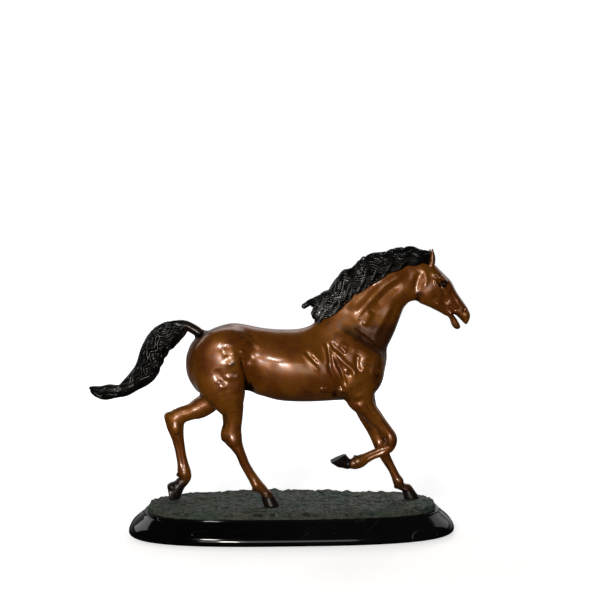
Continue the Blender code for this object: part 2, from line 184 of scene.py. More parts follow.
def to_line(x, z, a, b):
    """Share of the way from a to b of the nearest point in side view, and the squared distance to it."""
    ex, ez = b[0] - a[0], b[1] - a[1]
    t = np.clip(((x - a[0]) * ex + (z - a[1]) * ez) / (ex * ex + ez * ez + 1e-9), 0, 1)
    return t, (x - a[0] - t * ex) ** 2 + (z - a[1] - t * ez) ** 2


def tilted(dx, dz, degrees):
    """Offsets along and across a direction in side view."""
    c, s = math.cos(math.radians(degrees)), math.sin(math.radians(degrees))
    return dx * c + dz * s, dz * c - dx * s


def egg(flat2, side2, deep, wide):
    """Near distance to an ellipse of half sizes deep and wide, from squared offsets."""
    deep2, wide2 = deep * deep, wide * wide
    far = np.sqrt(flat2 / deep2 + side2 / wide2)
    steep = np.sqrt(flat2 / (deep2 * deep2) + side2 / (wide2 * wide2)) + 1e-6
    return far * (far - 1) / steep


def chain(field, sections, blend, per_span=3, reach=6.0):
    """A limb through sections: (x, z) of both edges in side view, y of the middle, half width."""
    s = smooth_path(sections, per_span)
    middle = np.column_stack([(s[:, 0] + s[:, 2]) / 2, s[:, 4], (s[:, 1] + s[:, 3]) / 2])
    deep = np.hypot(s[:, 0] - s[:, 2], s[:, 1] - s[:, 3]) / 2
    wide = s[:, 5]
    room = reach + blend
    size = np.maximum(deep, wide)[:, None] + room
    if field.misses((middle - size).min(0), (middle + size).max(0)):
        return
    limb = field.part()
    for i in range(len(s) - 1):
        a, b = middle[i], middle[i + 1]
        r = max(deep[i], deep[i + 1])
        w = max(wide[i], wide[i + 1])
        edge = np.array((r + room, w + room, r + room))
        found = limb.window(np.minimum(a, b) - edge, np.maximum(a, b) + edge)
        if not found:
            continue
        cut, x, y, z = found
        t, flat2 = to_line(x, z, a[::2], b[::2])
        side2 = (y - a[1] - t * (b[1] - a[1])) ** 2
        d = egg(flat2, side2, deep[i] + (deep[i + 1] - deep[i]) * t, wide[i] + (wide[i + 1] - wide[i]) * t)
        limb.d[cut] = np.minimum(limb.d[cut], d)
    box = field.window((middle - size).min(0), (middle + size).max(0))
    if box:
        cut = box[0]
        field.d[cut] = soft_min(field.d[cut], limb.d[cut], blend)


def ball(field, centre, radii, tilt=0.0, blend=3.0, cut_out=False):
    """An ellipsoid, turned by tilt degrees in side view. It is added, or cut out."""
    centre = np.array(centre, float)
    room = max(radii) + blend + 2
    found = field.window(centre - room, centre + room)
    if not found:
        return
    cut, x, y, z = found
    u, v = tilted(x - centre[0], z - centre[2], tilt)
    u, v, w = u / radii[0], v / radii[2], (y - centre[1]) / radii[1]
    far = np.sqrt(u * u + v * v + w * w)
    steep = np.sqrt((u / radii[0]) ** 2 + (v / radii[2]) ** 2 + (w / radii[1]) ** 2) + 1e-6
    d = far * (far - 1) / steep
    if cut_out:
        field.d[cut] = soft_max(field.d[cut], -d, blend)
    else:
        field.d[cut] = soft_min(field.d[cut], d, blend)


def strand(field, path, radii, blend=0.5):
    """A thin round strand through 3-D points."""
    room = max(radii) + blend + 1.5
    for a, b, ra, rb in zip(path, path[1:], radii, radii[1:]):
        found = field.window(np.minimum(a, b) - room, np.maximum(a, b) + room)
        if not found:
            continue
        cut, x, y, z = found
        e = b - a
        t = ((x - a[0]) * e[0] + (y - a[1]) * e[1] + (z - a[2]) * e[2]) / (e @ e + 1e-9)
        t = np.clip(t, 0, 1)
        d = np.sqrt((x - a[0] - t * e[0]) ** 2 + (y - a[1] - t * e[1]) ** 2 + (z - a[2] - t * e[2]) ** 2)
        field.d[cut] = soft_min(field.d[cut], d - (ra + (rb - ra) * t), blend)


def outline_distance(x, z, outline):
    """Signed distance in side view to a closed outline, on open x and z."""
    best = np.full(np.broadcast(x, z).shape, 1e9, np.float32)
    inside = np.zeros(best.shape, bool)
    for (ax, az), (bx, bz) in zip(outline, np.roll(outline, -1, axis=0)):
        best = np.minimum(best, to_line(x, z, (ax, az), (bx, bz))[1])
        if az != bz:
            inside ^= ((az > z) != (bz > z)) & (x < ax + (z - az) / (bz - az) * (bx - ax))
    best = np.sqrt(best)
    return np.where(inside, -best, best)


def spread(x, z, marks, reach):
    """Values given at marks (x, z, value...), spread smoothly over open x and z."""
    marks = np.asarray(marks, float)
    total = 0
    sums = [0] * (marks.shape[1] - 2)
    for mark in marks:
        share = np.exp(-((x - mark[0]) ** 2 + (z - mark[1]) ** 2) / (2 * reach * reach)) + 1e-9
        total = total + share
        sums = [s + share * v for s, v in zip(sums, mark[2:])]
    return [s / total for s in sums]


def slab(field, outline, marks, reach, blend=0.0, per_span=3):
    """A rounded shape with this side view. Marks give its half width and the depth of its rounding."""
    closed = smooth_path([*outline, outline[0]], per_span)[:-1]
    low, high = closed.min(0), closed.max(0)
    wide = max(mark[2] for mark in marks)
    room = 8 + blend
    lowest = (low[0] - room, -wide - room, low[1] - room)
    found = field.window(lowest, (high[0] + room, wide + room, high[1] + room))
    if not found:
        return
    cut, x, y, z = found
    inset = outline_distance(x, z, closed)
    width, rim = spread(x, z, marks, reach)
    flat = np.maximum(inset + rim, 0)
    d = egg(flat * flat, y * y, rim.astype(np.float32), width.astype(np.float32))
    field.d[cut] = soft_min(field.d[cut], d.astype(np.float32), blend)


# ---------------------------------------------------------------- relief, painted in side view


class Relief:
    """Heights painted in side view, that push one side of the horse out or in."""

    def __init__(self, field, strokes, bumps=()):
        self.x = field.axes[0].astype(np.float32)[:, None]
        self.z = field.axes[2].astype(np.float32)[None, :]
        self.h = np.zeros((len(field.axes[0]), len(field.axes[2])), np.float32)
        for stroke in strokes:
            self.stroke(*stroke)
        for bump in bumps:
            self.bump(*bump)

    def stroke(self, points, width, height, ends=0.25, lean=0.0):
        """A ridge, or a crease if height is negative. Lean raises the side on its left."""
        path = smooth_path(points, 4)
        low, high = path.min(0) - 3 * width - 2, path.max(0) + 3 * width + 2
        i, j = np.searchsorted(self.x[:, 0], (low[0], high[0]))
        k, m = np.searchsorted(self.z[0], (low[1], high[1]))
        if i == j or k == m:
            return
        x, z = self.x[i:j], self.z[:, k:m]
        along = lengths(path)
        along /= along[-1]
        best = np.full((j - i, m - k), 1e9, np.float32)
        where = np.zeros_like(best)
        side = np.zeros_like(best)
        for a, b, s0, s1 in zip(path, path[1:], along, along[1:]):
            t, far = to_line(x, z, a, b)
            nearer = far < best
            best = np.where(nearer, far, best)
            where = np.where(nearer, s0 + (s1 - s0) * t, where)
            left = (b[0] - a[0]) * (z - a[1]) - (b[1] - a[1]) * (x - a[0])
            side = np.where(nearer, np.sign(left), side)
        far = np.sqrt(best) / width
        fade = smoothstep(np.minimum(where, 1 - where), 0, ends)
        form = height * np.exp(-far * far)
        if lean:
            form = form + lean * side * far * np.exp(-far * far / 2)
        self.h[i:j, k:m] += form * fade

    def bump(self, x, z, long, thin, tilt, height):
        u, v = tilted(self.x - x, self.z - z, tilt)
        u, v = u / long, v / thin
        self.h += height * np.exp(-(u * u + v * v))

    def press(self, field, side, fade=10.0):
        """Moves the surface on one side, less so near the middle plane."""
        share = smoothstep(field.axes[1].astype(np.float32) * side, 0, fade)
        for j in np.flatnonzero(share > 0):
            field.d[:, j, :] -= self.h * share[j]


def lattice_noise(x, y, z, seed):
    """Smooth noise between -1 and 1 on arrays that broadcast."""
    cells = [np.floor(v).astype(np.int64) for v in (x, y, z)]
    parts = [v - c for v, c in zip((x, y, z), cells)]
    smooth = [smoothstep(p, 0, 1).astype(np.float32) for p in parts]
    total = 0
    for (i, j, k), weight in corners(smooth):
        key = (cells[0] + i) * 73856093 ^ (cells[1] + j) * 19349663 ^ (cells[2] + k) * 83492791
        key = (key ^ (seed * 2654435761)) & 0xFFFFFFFF
        key = ((key ^ (key >> 15)) * 2246822519) & 0xFFFFFFFF
        key = ((key ^ (key >> 13)) * 3266489917) & 0xFFFFFFFF
        value = ((key ^ (key >> 16)) & 0xFFFF).astype(np.float32) / 32767.5 - 1
        total = total + value * weight
    return total


# ---------------------------------------------------------------- the horse's body

BODY_OUTLINE = (
    (-111.7, 261.9), (-97.7, 268.3), (-85.1, 272.3), (-73.6, 273.9), (-60, 272.4), (-45, 269.2),
    (-28, 266.8), (-10, 265.9), (8, 266.5), (22.9, 270.6), (32, 277.5), (42, 288), (54, 300.5),
    (66, 313), (79, 324), (92, 333.5), (105.5, 342), (119.5, 349), (134, 354), (150, 356.5),
    (165, 355.5), (176, 347), (177, 334), (171, 318), (163, 306), (156, 302.2), (149.8, 300.4),
    (145, 296), (141.2, 290), (135.1, 273.6), (131.2, 263.4), (126, 252), (121.2, 241.5),
    (121, 229.3), (119.6, 219), (116.2, 208.8), (113.2, 198.5), (109.6, 191), (104, 184),
    (94, 179.6), (80, 177), (67.9, 175.6), (48.6, 174.8), (29.4, 173.8), (10.2, 173.7),
    (-8.9, 174.8), (-21.7, 176.6), (-34.5, 180.4), (-44.7, 183.2), (-56, 187.8), (-75, 189),
    (-95, 187), (-110, 184), (-118.4, 186.3), (-124.6, 192.5), (-131, 203.5), (-134, 213.7),
    (-134.6, 223.9), (-133.4, 234), (-128.9, 246.6), (-122, 255.2),
)
# (x, z, half width, depth of the rounding)
BODY_MARKS = (
    (-129, 222, 27, 32), (-118, 243, 30, 34), (-116, 205, 31, 36), (-92, 255, 32, 38),
    (-96, 226, 38, 41), (-86, 200, 37, 36), (-68, 262, 29, 38), (-60, 235, 34, 40),
    (-40, 250, 30, 46), (-44, 218, 29, 40), (-30, 195, 32, 31), (-6, 252, 34, 52),
    (-22, 218, 37.5, 41), (0, 220, 39.4, 42), (-4, 192, 36.5, 31), (30, 245, 32.5, 45), (34, 218, 37.5, 41),
    (38, 190, 34, 33), (36, 268, 17, 26), (62, 258, 25, 36), (72, 230, 32, 42),
    (76, 198, 31, 36), (104, 228, 25, 32), (106, 202, 24, 28), (82, 272, 21, 34),
    (106, 256, 20, 32), (62, 288, 14, 28), (98, 298, 16.5, 29), (120, 286, 16, 27),
    (86, 312, 12, 24), (128, 316, 14, 25), (112, 330, 11.5, 22), (146, 314, 12.5, 20),
    (150, 338, 11, 21), (166, 330, 11.5, 18), (170, 346, 9, 14),
)
# Limb sections: (x, z) of the front edge, (x, z) of the rear edge, y of the middle, half width
RIGHT_HIND = (
    (-60, 225, -120, 222, -17, 18), (-57, 208, -120, 203, -19.5, 18),
    (-59, 193, -109, 187, -20, 16.2), (-61.2, 179, -99, 177.4, -19, 13.4),
    (-61.6, 166.3, -90, 166.6, -17.6, 10.8), (-63, 153.6, -88, 153.7, -16.5, 9),
    (-64.4, 142, -87.2, 142.6, -16.5, 8.1), (-63.8, 132, -87.4, 131.4, -16.5, 8),
    (-62.8, 122, -80.2, 122.4, -16.5, 7.4), (-59.4, 110.5, -72, 110.6, -16.5, 5.9),
    (-55, 98.8, -67, 98.9, -16.5, 5), (-49.6, 88.6, -61.2, 88.2, -16.5, 4.8),
    (-43.6, 80, -56.2, 79, -16.5, 5.2), (-37.8, 72.2, -52, 69.8, -16.5, 6.3),
    (-32.8, 67, -44.8, 63.2, -16.5, 5.7), (-29, 61.6, -39, 58.4, -16.5, 5.6),
    (-26.6, 57.6, -39.4, 55.4, -16.5, 6.4),
)
LEFT_HIND = (
    (-62, 225, -122, 222, 17, 18), (-66, 207, -125, 205, 19.5, 18),
    (-80, 188, -119.5, 192, 20, 16), (-92.4, 166.4, -119, 178.6, 19, 12.8),
    (-106.4, 156.4, -129.6, 170.6, 17.6, 10.4), (-120.6, 152.8, -138.8, 164.4, 16.5, 8.8),
    (-132.4, 148.6, -150, 160.8, 16.5, 8), (-138, 143.4, -160.4, 154.2, 16.5, 7.8),
    (-139.2, 138, -160.8, 145.6, 16.5, 7.6), (-139.6, 130.5, -157.8, 136.6, 16.5, 7.4),
    (-139, 121, -154, 125.2, 16.5, 6), (-137.6, 111, -151.2, 113.4, 16.5, 5),
    (-136, 101, -149.2, 102, 16.5, 4.8), (-133.4, 91.5, -147.6, 91.4, 16.5, 5.2),
    (-130.2, 81, -147.4, 80.4, 16.5, 6.4), (-129.6, 74.4, -145.2, 74.4, 16.5, 6.2),
    (-132.4, 68.4, -146.4, 70.4, 16.5, 5.9), (-136.2, 63.4, -150.2, 68.4, 16.5, 6.4),
)
RIGHT_FORE = (
    (106, 214, 64, 205, -15, 15), (104, 196, 63.6, 190, -17, 14),
    (102.6, 185, 67, 178.4, -17, 12.4), (103.6, 176.6, 75.8, 168, -16.4, 10.9),
    (107.4, 168, 85.6, 161.2, -15.5, 9.6), (113.6, 158.5, 93.8, 154.2, -14.5, 8.7),
    (120, 148.5, 102.6, 145.8, -14.5, 7.8), (126.6, 139.5, 111, 137, -14.5, 7.4),
    (132.2, 131, 117.4, 129.4, -14.5, 7.6), (132.4, 121.2, 117.8, 124.8, -14.5, 7.4),
    (127, 111.6, 116, 120.8, -14.5, 6.6), (115.4, 105.4, 109.6, 117, -14.5, 5.4),
    (105, 101.8, 100.4, 113, -14.5, 4.8), (96, 96.8, 91, 109, -14.5, 5),
    (88.6, 91.4, 84, 107, -14.5, 6.2), (81.6, 89, 78.4, 104.4, -14.5, 6),
    (75, 89.4, 74.6, 101, -14.5, 5.8), (70, 89.4, 71.6, 101.4, -14.5, 6.2),
)
LEFT_FORE = (
    (106, 214, 66, 205, 15, 15), (106, 196, 66, 190, 17, 14),
    (107.2, 183, 70.4, 175.4, 16.4, 12.2), (109.8, 168, 80.6, 161.6, 15, 10.4),
    (113, 155, 87, 150, 13.5, 9.2), (116.4, 141, 95, 137, 13.5, 8),
    (120, 128, 101.2, 125.5, 13.5, 7.4), (123.4, 117, 105.8, 114.4, 13.5, 7.6),
    (125, 110, 108.8, 108.4, 13.5, 7), (127, 103.4, 113, 100.2, 13.5, 5.8),
    (130.8, 94, 119, 90.8, 13.5, 5), (135.6, 84, 125.2, 81.2, 13.5, 4.9),
    (140.2, 74.8, 129.2, 72.8, 13.5, 5.6), (144.6, 67.4, 131.4, 66, 13.5, 6.3),
    (146.6, 62.8, 134.8, 59.6, 13.5, 5.9), (151, 59, 141.8, 56.4, 13.5, 5.7),
    (155.4, 57.2, 142.4, 55.2, 13.5, 6.4),
)
HEAD_OUTLINE = (
    (160, 350.5), (170, 351.2), (177, 350), (182.2, 347.7), (188.7, 341.3), (195.1, 335), (201.6, 328.6),
    (205.5, 322.3), (208.8, 315.9), (213.4, 308.2), (217.9, 301.9), (222.5, 295.5), (225.6, 290),
    (227.5, 285.2), (227.8, 281), (226.2, 276), (223.4, 271.6), (220.6, 272.8), (216.6, 276.9),
    (212.6, 281), (209, 283.6), (206.3, 284.4), (208.6, 281.2), (211.1, 277.6), (213.8, 273), (215.4, 269.4),
    (214.6, 266.6), (211.2, 265.2), (207.4, 266.8), (204.2, 271), (202.3, 276.8), (199.6, 281.2),
    (195.4, 283.2), (188.8, 287), (182.4, 290.2), (176, 293.4), (169.5, 296.2), (163, 299.2),
    (158.4, 304.5), (155, 312), (154, 325), (155, 340),
)
HEAD_MARKS = (
    (162, 345, 9.5, 13), (176, 344, 11, 13), (187, 336, 12.8, 12), (191, 325, 13.6, 12),
    (178, 326, 12.6, 15), (168, 314, 11.6, 13), (180, 306, 11.4, 12), (198, 322, 10.6, 11),
    (203, 312, 8.6, 10), (190, 296, 8.8, 9), (206, 300, 7.4, 8), (213, 300, 7.4, 8),
    (198, 289, 7.4, 6.5), (219, 289, 8.8, 7.5), (213, 285, 8.2, 5), (225, 280, 7, 5),
    (221, 275, 5.6, 3), (206, 277, 6, 3.5), (209, 270, 6, 4), (213, 268, 5, 3),
)


def hoof(field, top, sole, y, wide, planes):
    """A hoof from its coronet to its sole, both (toe x, z, heel x, z), cut by planes (x, z, outward x, z)."""
    ends = np.array((top, sole), float)
    sections = [
        (*(ends[0] + (ends[1] - ends[0]) * share), y, wide[0] + (wide[1] - wide[0]) * share)
        for share in (0, 0.5, 1, 2)
    ]
    shape = field.part()
    chain(shape, sections, 0, per_span=4)
    x, _, z = np.ix_(*field.axes)
    for px, pz, nx, nz in planes:
        floor = np.broadcast_to(((x - px) * nx + (z - pz) * nz).astype(np.float32), shape.d.shape)
        shape.d = np.where(shape.d < HOOF_REACH, soft_max(shape.d, floor, 0.8), shape.d)
    field.d = soft_min(field.d, shape.d, 1.2)


def head(field):
    slab(field, HEAD_OUTLINE, HEAD_MARKS, 7.5, blend=5.0)
    for side in (-1, 1):
        ball(field, (190.5, side * 10.8, 329.5), (6.5, 4.2, 3.4), -42, 2.5)
        ball(field, (175.5, side * 7.6, 318), (11, 6, 13), -30, 4)
        ball(field, (192.4, side * 13.6, 323.4), (4.6, 3, 3.4), -42, 1.6, cut_out=True)
        ball(field, (192, side * 11.4, 323.6), (3.5, 3, 2.7), -42, 0.4)
        ball(field, (219.4, side * 8.6, 291.2), (3, 2.6, 1.8), 52, 1.2, cut_out=True)
        ear(field, side)


def ear(field, side):
    """A pricked ear, hollow in front."""
    sections = (
        (180, 346, 171.6, 346, side * 6, 3.6), (181.2, 351, 173.6, 350.6, side * 7, 3.5),
        (181.2, 357, 174.6, 356.4, side * 8, 3.1), (179.6, 363, 175.4, 362.6, side * 8.6, 2.3),
        (178, 367.4, 176.4, 367.2, side * 8.8, 1.1),
    )
    chain(field, sections, 1.5, per_span=3, reach=4)
    hollow = np.array(((181.5, side * 10.4, 351), (180.6, side * 11, 357), (179.2, side * 10.6, 363)))
    cut = field.part()
    strand(cut, smooth_path(hollow, 3), np.linspace(2.4, 1.0, 7), 0)
    field.d = soft_max(field.d, -cut.d, 0.8)


def body(field):
    """The whole horse without its hair."""
    slab(field, BODY_OUTLINE, BODY_MARKS, 15.0)
    chain(field, RIGHT_HIND, 7.0)
    chain(field, LEFT_HIND, 7.0)
    chain(field, RIGHT_FORE, 7.0)
    chain(field, LEFT_FORE, 7.0)
    muscles(field)
    joints(field)
    if not field.misses((150, -20, 260), (232, 20, 375)):
        head(field)
    chain(field, DOCK, 6.0)
    relief(field)
    hooves(field)
    for y in (12.6, 20.4):
        ball(field, (-154.6, y, 61.6), (4.6, 4.2, 4.8), 20, 2.5)  # Heel bulbs of the raised hind hoof
    # The horny knob behind and under each fetlock
    for x, y, z in ((-48.4, -16.5, 64.6), (-146.4, 16.5, 76.6), (80, -14.5, 104.6), (135.8, 13.5, 58.8)):
        ball(field, (x, y, z), (2.9, 3.4, 2.5), -25, 1.4)
    x, y, z = field.open_axes()
    field.d -= (0.16 * lattice_noise(x / 9, y / 9, z / 9, 3)).astype(np.float32)


DOCK = (
    (-102, 256, -110, 246, 0, 6), (-114, 267, -119.5, 255.6, 0, 6.2), (-123.4, 273, -127.6, 261.4, 0, 6),
    (-134, 277.4, -135, 265.6, 0, 5.8), (-147, 277.6, -143.6, 266, 0, 5.6), (-158, 272, -151, 262, 0, 5),
)


def muscles(field):
    """Thighs, shoulders and breast: x, y, z, radii, tilt."""
    for side in (-1, 1):
        for x, y, z, radii, tilt in (
            (-88, 17, 238, (36, 20, 30), 20), (72, 17, 226, (26, 15, 36), 20),
            (97, 14, 222, (18, 15, 24), 10), (66, 20, 204, (20, 13, 20), 30), (99, 10, 206, (14, 12, 18), 0),
        ):
            ball(field, (x, side * y, z), radii, tilt, 8)


def joints(field):
    """Bone points: hocks, knees, fetlocks and their small knuckles."""
    ball(field, (-86.6, -16.5, 136), (3.4, 4.2, 8), -6, 6)
    ball(field, (-158.4, 16.5, 151.4), (4.6, 4.4, 6.6), 40, 5)
    hocks = [(x, y, z, 5, (5, 2.8, 5.6), 0, 4) for x, y, z in ((-74, -16.5, 128), (-149, 16.5, 138))]
    knees = ((124.6, -14.5, 127, 0), (115.6, 13.5, 116, -60))
    knees = [(*at, 4.8, (4.6, 2.8, 6), tilt, 4) for *at, tilt in knees]
    fetlocks = ((-46.6, -16.5, 70.6), (-139, 16.5, 78), (83, -14.5, 99.4), (140.4, 13.5, 67.4))
    fetlocks = [(x, y, z, 3.2, (4, 2.8, 4.4), 0, 3) for x, y, z in fetlocks]
    for x, y, z, apart, radii, tilt, blend in hocks + knees + fetlocks:
        for side in (-1, 1):
            ball(field, (x, y + side * apart, z), radii, tilt, blend)


HOOF_REACH = 12
# Each hoof: a middle to look round, its coronet, sole, y, half widths at both, and its flat faces
HOOVES = (
    ((-30, -16.5, 50), (-23.8, 56.8, -39.2, 54.6), (-16.8, 44, -36.6, 43), -16.5, (6.6, 8.8),
     ((0, 43.6, 0, -1),)),
    ((-150, 16.5, 58), (-138, 61, -150, 68.6), (-147, 44, -161, 63.6), 16.5, (6.6, 8.4),
     ((-159.4, 58, -0.98, -0.2), (0, 46.3, 0, -1))),
    ((62, -14.5, 100), (66.4, 89.6, 70.6, 103.4), (48.6, 95.6, 66.4, 109.6), -14.5, (6.4, 8.4),
     ((48.8, 99.4, -0.449, 0.893), (48.8, 98.4, -0.6, -0.8))),
    ((153, 13.5, 51), (157.6, 56.2, 143.4, 54.4), (164.6, 45, 146.6, 44), 13.5, (6.6, 8.8),
     ((0, 44.1, 0, -1),)),
)


def hooves(field):
    reach = 17
    for centre, top, sole, y, wide, planes in HOOVES:
        if not field.misses([c - reach for c in centre], [c + reach for c in centre]):
            hoof(field, top, sole, y, wide, planes)


# Trunk and shoulder: points, width, height, share that fades at both ends, lean
TRUNK_STROKES = (
    # Flank: the thigh folds over the barrel, with a hollow in front of it
    (((-64.6, 237), (-64.3, 230), (-62.9, 222), (-60.6, 215), (-59.2, 206), (-58.3, 197), (-59, 188)),
     2.0, -4.0, 0.15),
    (((-64.6, 237), (-64.3, 230), (-62.9, 222), (-60.6, 215), (-59.2, 206), (-58.3, 197), (-59, 188)),
     5.5, 0, 0.15, -3.0),
    (((-44, 250), (-51, 236), (-54, 222)), 7, -1.4),
    # Rump and thigh: an arc of small knuckles beside a broad flat muscle
    (((-94, 222), (-91.6, 213), (-86, 206), (-80, 202)), 5, -0.9),
    # Ribs and the folds behind the elbow
    (((13, 243), (19.6, 235.8), (25.8, 229.6), (32.4, 223)), 2.5, -1.1),
    (((10, 242.6), (17.4, 234), (24.4, 226), (30, 218), (34, 212)), 3.1, 0.9),
    (((40, 254), (43.6, 242), (45, 231), (46, 221), (49.6, 211), (55.6, 202), (62, 193), (66, 186)),
     2.6, -2.2, 0.2),
    (((37, 252), (41, 240.6), (42.6, 231), (43.6, 222)), 2.5, 1),
    (((48.6, 241), (49.4, 233), (52.6, 223), (57.6, 212), (61.6, 202), (66, 192)), 2.7, 1.1),
    (((50.6, 234), (55.6, 225), (60.6, 215), (63.6, 204), (67.6, 194)), 2.5, -1.4),
    # Shoulder: the triceps, the point of the shoulder and the hollow between them
    (((46, 244.6), (53.5, 238), (60, 231.2), (66, 225), (72.4, 220), (76, 215.4), (76.4, 209.6),
     (73.6, 204.4)), 3.1, 1.7, 0.2),
    (((46, 253), (52.2, 245), (59.4, 240), (66.4, 234.6)), 2.6, -1.2),
    (((57, 248.6), (62, 243.4), (66.6, 237)), 3, 1.1),
    (((58, 251), (63.4, 249), (69, 245)), 2.5, 0.8),
    (((70, 241), (78.4, 244.6), (86, 243), (93.6, 238), (98.6, 230)), 3.6, 0.8),
    (((81.6, 238.6), (80, 230), (80, 221), (83, 213)), 3.2, -2),
    (((104, 240), (102.6, 230), (100.6, 219), (98.4, 208), (97, 200)), 2.5, 0.8),
    (((107.4, 238), (106, 226), (103.6, 213), (100.6, 201)), 3.4, -1.2),
    # Belly vein, and wrinkles at the elbow
    (((0, 199), (6, 193.6), (13, 189.4), (22, 187.6), (33.9, 187.8), (52, 186)), 1.6, 1.1),
    (((69.3, 183), (79.9, 177.6), (92.3, 184.6)), 3.4, -0.9, 0.25, 0.6),
)
# x, z, half sizes along and across, tilt, height
TRUNK_BUMPS = (
    (-52, 205, 8, 18, 5, -4.6), (-62, 241, 3.6, 2.4, -30, 1.6), (-61.6, 207.5, 1.8, 3, 0, 0.9),
    (-82, 233, 6, 4, 20, -0.6), (-100, 230, 13, 22, 0, -0.9), (-74, 234, 9, 22, 0, 1.5),
    (28.4, 235, 8, 4.6, -50, 1.7), (57, 197, 6, 13, -35, -2.4), (69.4, 214.6, 2.4, 2.4, 0, -2.2),
    (66.6, 215.6, 1.7, 1.7, 0, 1.2), (90.6, 234, 8, 9, 0, 2.4), (88.4, 219.4, 3, 4.4, 30, 1.0),
    (83, 205, 12, 14, 15, 1.4), (35.7, 193.6, 2.4, 1.6, 30, 1.7), (41.4, 193.4, 1.6, 2.4, 30, 1.5),
)
# Neck, in the same form
NECK_STROKES = (
    # The long ridge down the neck, with a hollow on both sides
    (((78, 278), (87.7, 291.6), (99, 304.4), (109, 315), (120.4, 325), (134, 333.4), (148, 338.6)),
     5.6, 2.3, 0.2),
    (((70, 290), (84, 305), (98, 318), (112, 330)), 6, -1.4),
    (((100, 291), (111, 304), (125, 317), (139, 325)), 6, -1.8),
    (((88, 271), (93, 279), (99.6, 291)), 4.4, 2),
    (((82, 277), (89, 286), (95, 294)), 3.1, -0.49),
    # Edge beside the windpipe
    (((104, 254), (111, 266), (119.5, 280), (126, 292), (133, 303)), 3.4, 0, 0.25, 1.5),
    # Folds where the neck enters the shoulder
    (((76, 270.6), (83, 266), (90.6, 260.6), (98, 255.6), (105, 251)), 1.6, -1.4, 0.3),
    (((76, 270.6), (83, 266), (90.6, 260.6), (98, 255.6), (105, 251)), 3.6, 0, 0.3, -1.4),
    (((82, 259), (90, 253.6), (98, 248)), 2.9, -0.49),
    # Hollow behind the jaw, between two cords
    (((157, 343), (156.2, 336.4), (153, 331), (151, 326)), 4, 0.6, 0.4),
    (((161.6, 343), (159, 331), (155, 319), (151.6, 308)), 4.6, -1.7, 0.3),
    (((167, 345), (168.4, 335.2), (169.4, 328.9), (167, 321.3), (164.6, 315)), 3.4, 1.1, 0.35),
)
# Brow, eye hollow, cheek crest, nose bone, lips and nostril, in the same form
FACE_STROKES = (
    (((176.5, 337.4), (180.8, 335.2), (185.6, 331.4), (190.4, 329.6)), 1.5, 1.7, 0.3),
    (((178, 331), (181.6, 324.6), (185, 318), (188.4, 312), (191, 307)), 1.9, 2.3, 0.3),
    (((183.6, 327), (188.4, 318), (194.5, 309.5)), 1.9, -1.1),
    (((181.5, 300), (188, 295), (195, 290.6)), 1.6, 0.9),
    (((198.6, 302), (203, 298.4), (208, 294.6), (213.4, 293)), 1.6, 1.5),
    (((197, 297), (203, 292.8), (209.5, 288.6)), 1.5, -1.4),
    (((199, 316), (204.5, 307), (211, 298)), 1.8, -1.0),
    (((206, 287.8), (212, 284.6), (218, 279), (222.5, 275)), 1.2, -1.0),
)
FACE_BUMPS = (
    (186.4, 325, 5, 3.4, -45, -1.9), (196.5, 321, 3.6, 3, -45, -1.5), (193.4, 300.6, 5.5, 4, -50, -2.2),
    (201.9, 286.8, 2.0, 1.8, 0, 1.4), (221.6, 283, 3.2, 3.6, 0, 1.0), (219.4, 290.6, 2.0, 3.0, -40, -1.6),
)
# Right legs, in the same form
RIGHT_LIMB_STROKES = (
    (((-86, 198), (-82, 178), (-80, 160), (-80, 146)), 3.4, -0.8),
    (((-70, 190), (-70, 172), (-71, 156)), 3.4, 0.8),
    (((-84.4, 168), (-82, 154), (-82, 143)), 2.2, -1.0),
    (((-77, 122), (-68.4, 108), (-60.6, 94), (-53, 81)), 2.0, -0.9),
    (((-71, 121), (-62.6, 106), (-55.6, 92), (-48.6, 80)), 1.8, 0.6),
    (((-40, 66), (-33, 59)), 1.8, -0.7),
    (((-26, 58), (-32, 57.4), (-38.4, 56.4)), 1.2, 0.8),
    (((88, 184), (94, 172), (102, 158), (110, 146), (118, 135)), 2.0, -1.2),
    (((80, 178), (88, 166), (97, 154), (106, 142)), 2.6, 0.9),
    (((94, 186), (100, 173), (108, 159), (116, 147)), 2.2, 1.0),
    (((121, 116.4), (110, 110.6), (98, 105.6), (89, 100)), 1.8, -0.9),
    (((69.5, 91), (71, 96.4), (71.6, 102)), 1.2, 0.8),
)
# Left legs, in the same form
LEFT_LIMB_STROKES = (
    (((-150, 128), (-145.6, 112), (-142.4, 96), (-139.4, 82)), 2.0, -0.8),
    (((83, 180), (91, 160), (99, 142), (107, 124)), 2.2, -1.0),
    (((98, 176), (102, 158), (109, 140), (115, 124)), 2.4, 0.8),
    (((115, 106), (122, 92), (129, 79)), 1.8, -0.8),
    (((143.6, 56), (150, 56.8), (156, 57.2)), 1.2, 0.8),
)
# An arc of small knuckles on the rump and the thigh: x, z, radius, height
KNUCKLES = (
    (-73, 253, 4, 0.6), (-79, 251, 4.4, 0.8), (-86, 243.4, 4, 0.7), (-84, 238.6, 3.4, 0.5),
    (-72.6, 239.4, 3, 0.6), (-77.8, 225.4, 4, 0.7), (-78, 209.4, 4.4, 0.7), (-70, 209.4, 4, 0.6),
    (-91, 203.6, 4, 0.8), (-87, 198, 4.4, 0.7),
)


def relief(field):
    """Muscle edges, veins and folds, painted in side view and pressed into each side."""
    knuckles = tuple((x, z, r, r * 0.75, 10, height) for x, z, r, height in KNUCKLES)
    trunk = Relief(field, TRUNK_STROKES + NECK_STROKES + FACE_STROKES, TRUNK_BUMPS + FACE_BUMPS + knuckles)
    for side, strokes in ((-1, RIGHT_LIMB_STROKES), (1, LEFT_LIMB_STROKES)):
        trunk.press(field, side)
        Relief(field, strokes).press(field, side, 6.0)


# ---------------------------------------------------------------- surfaces and pieces


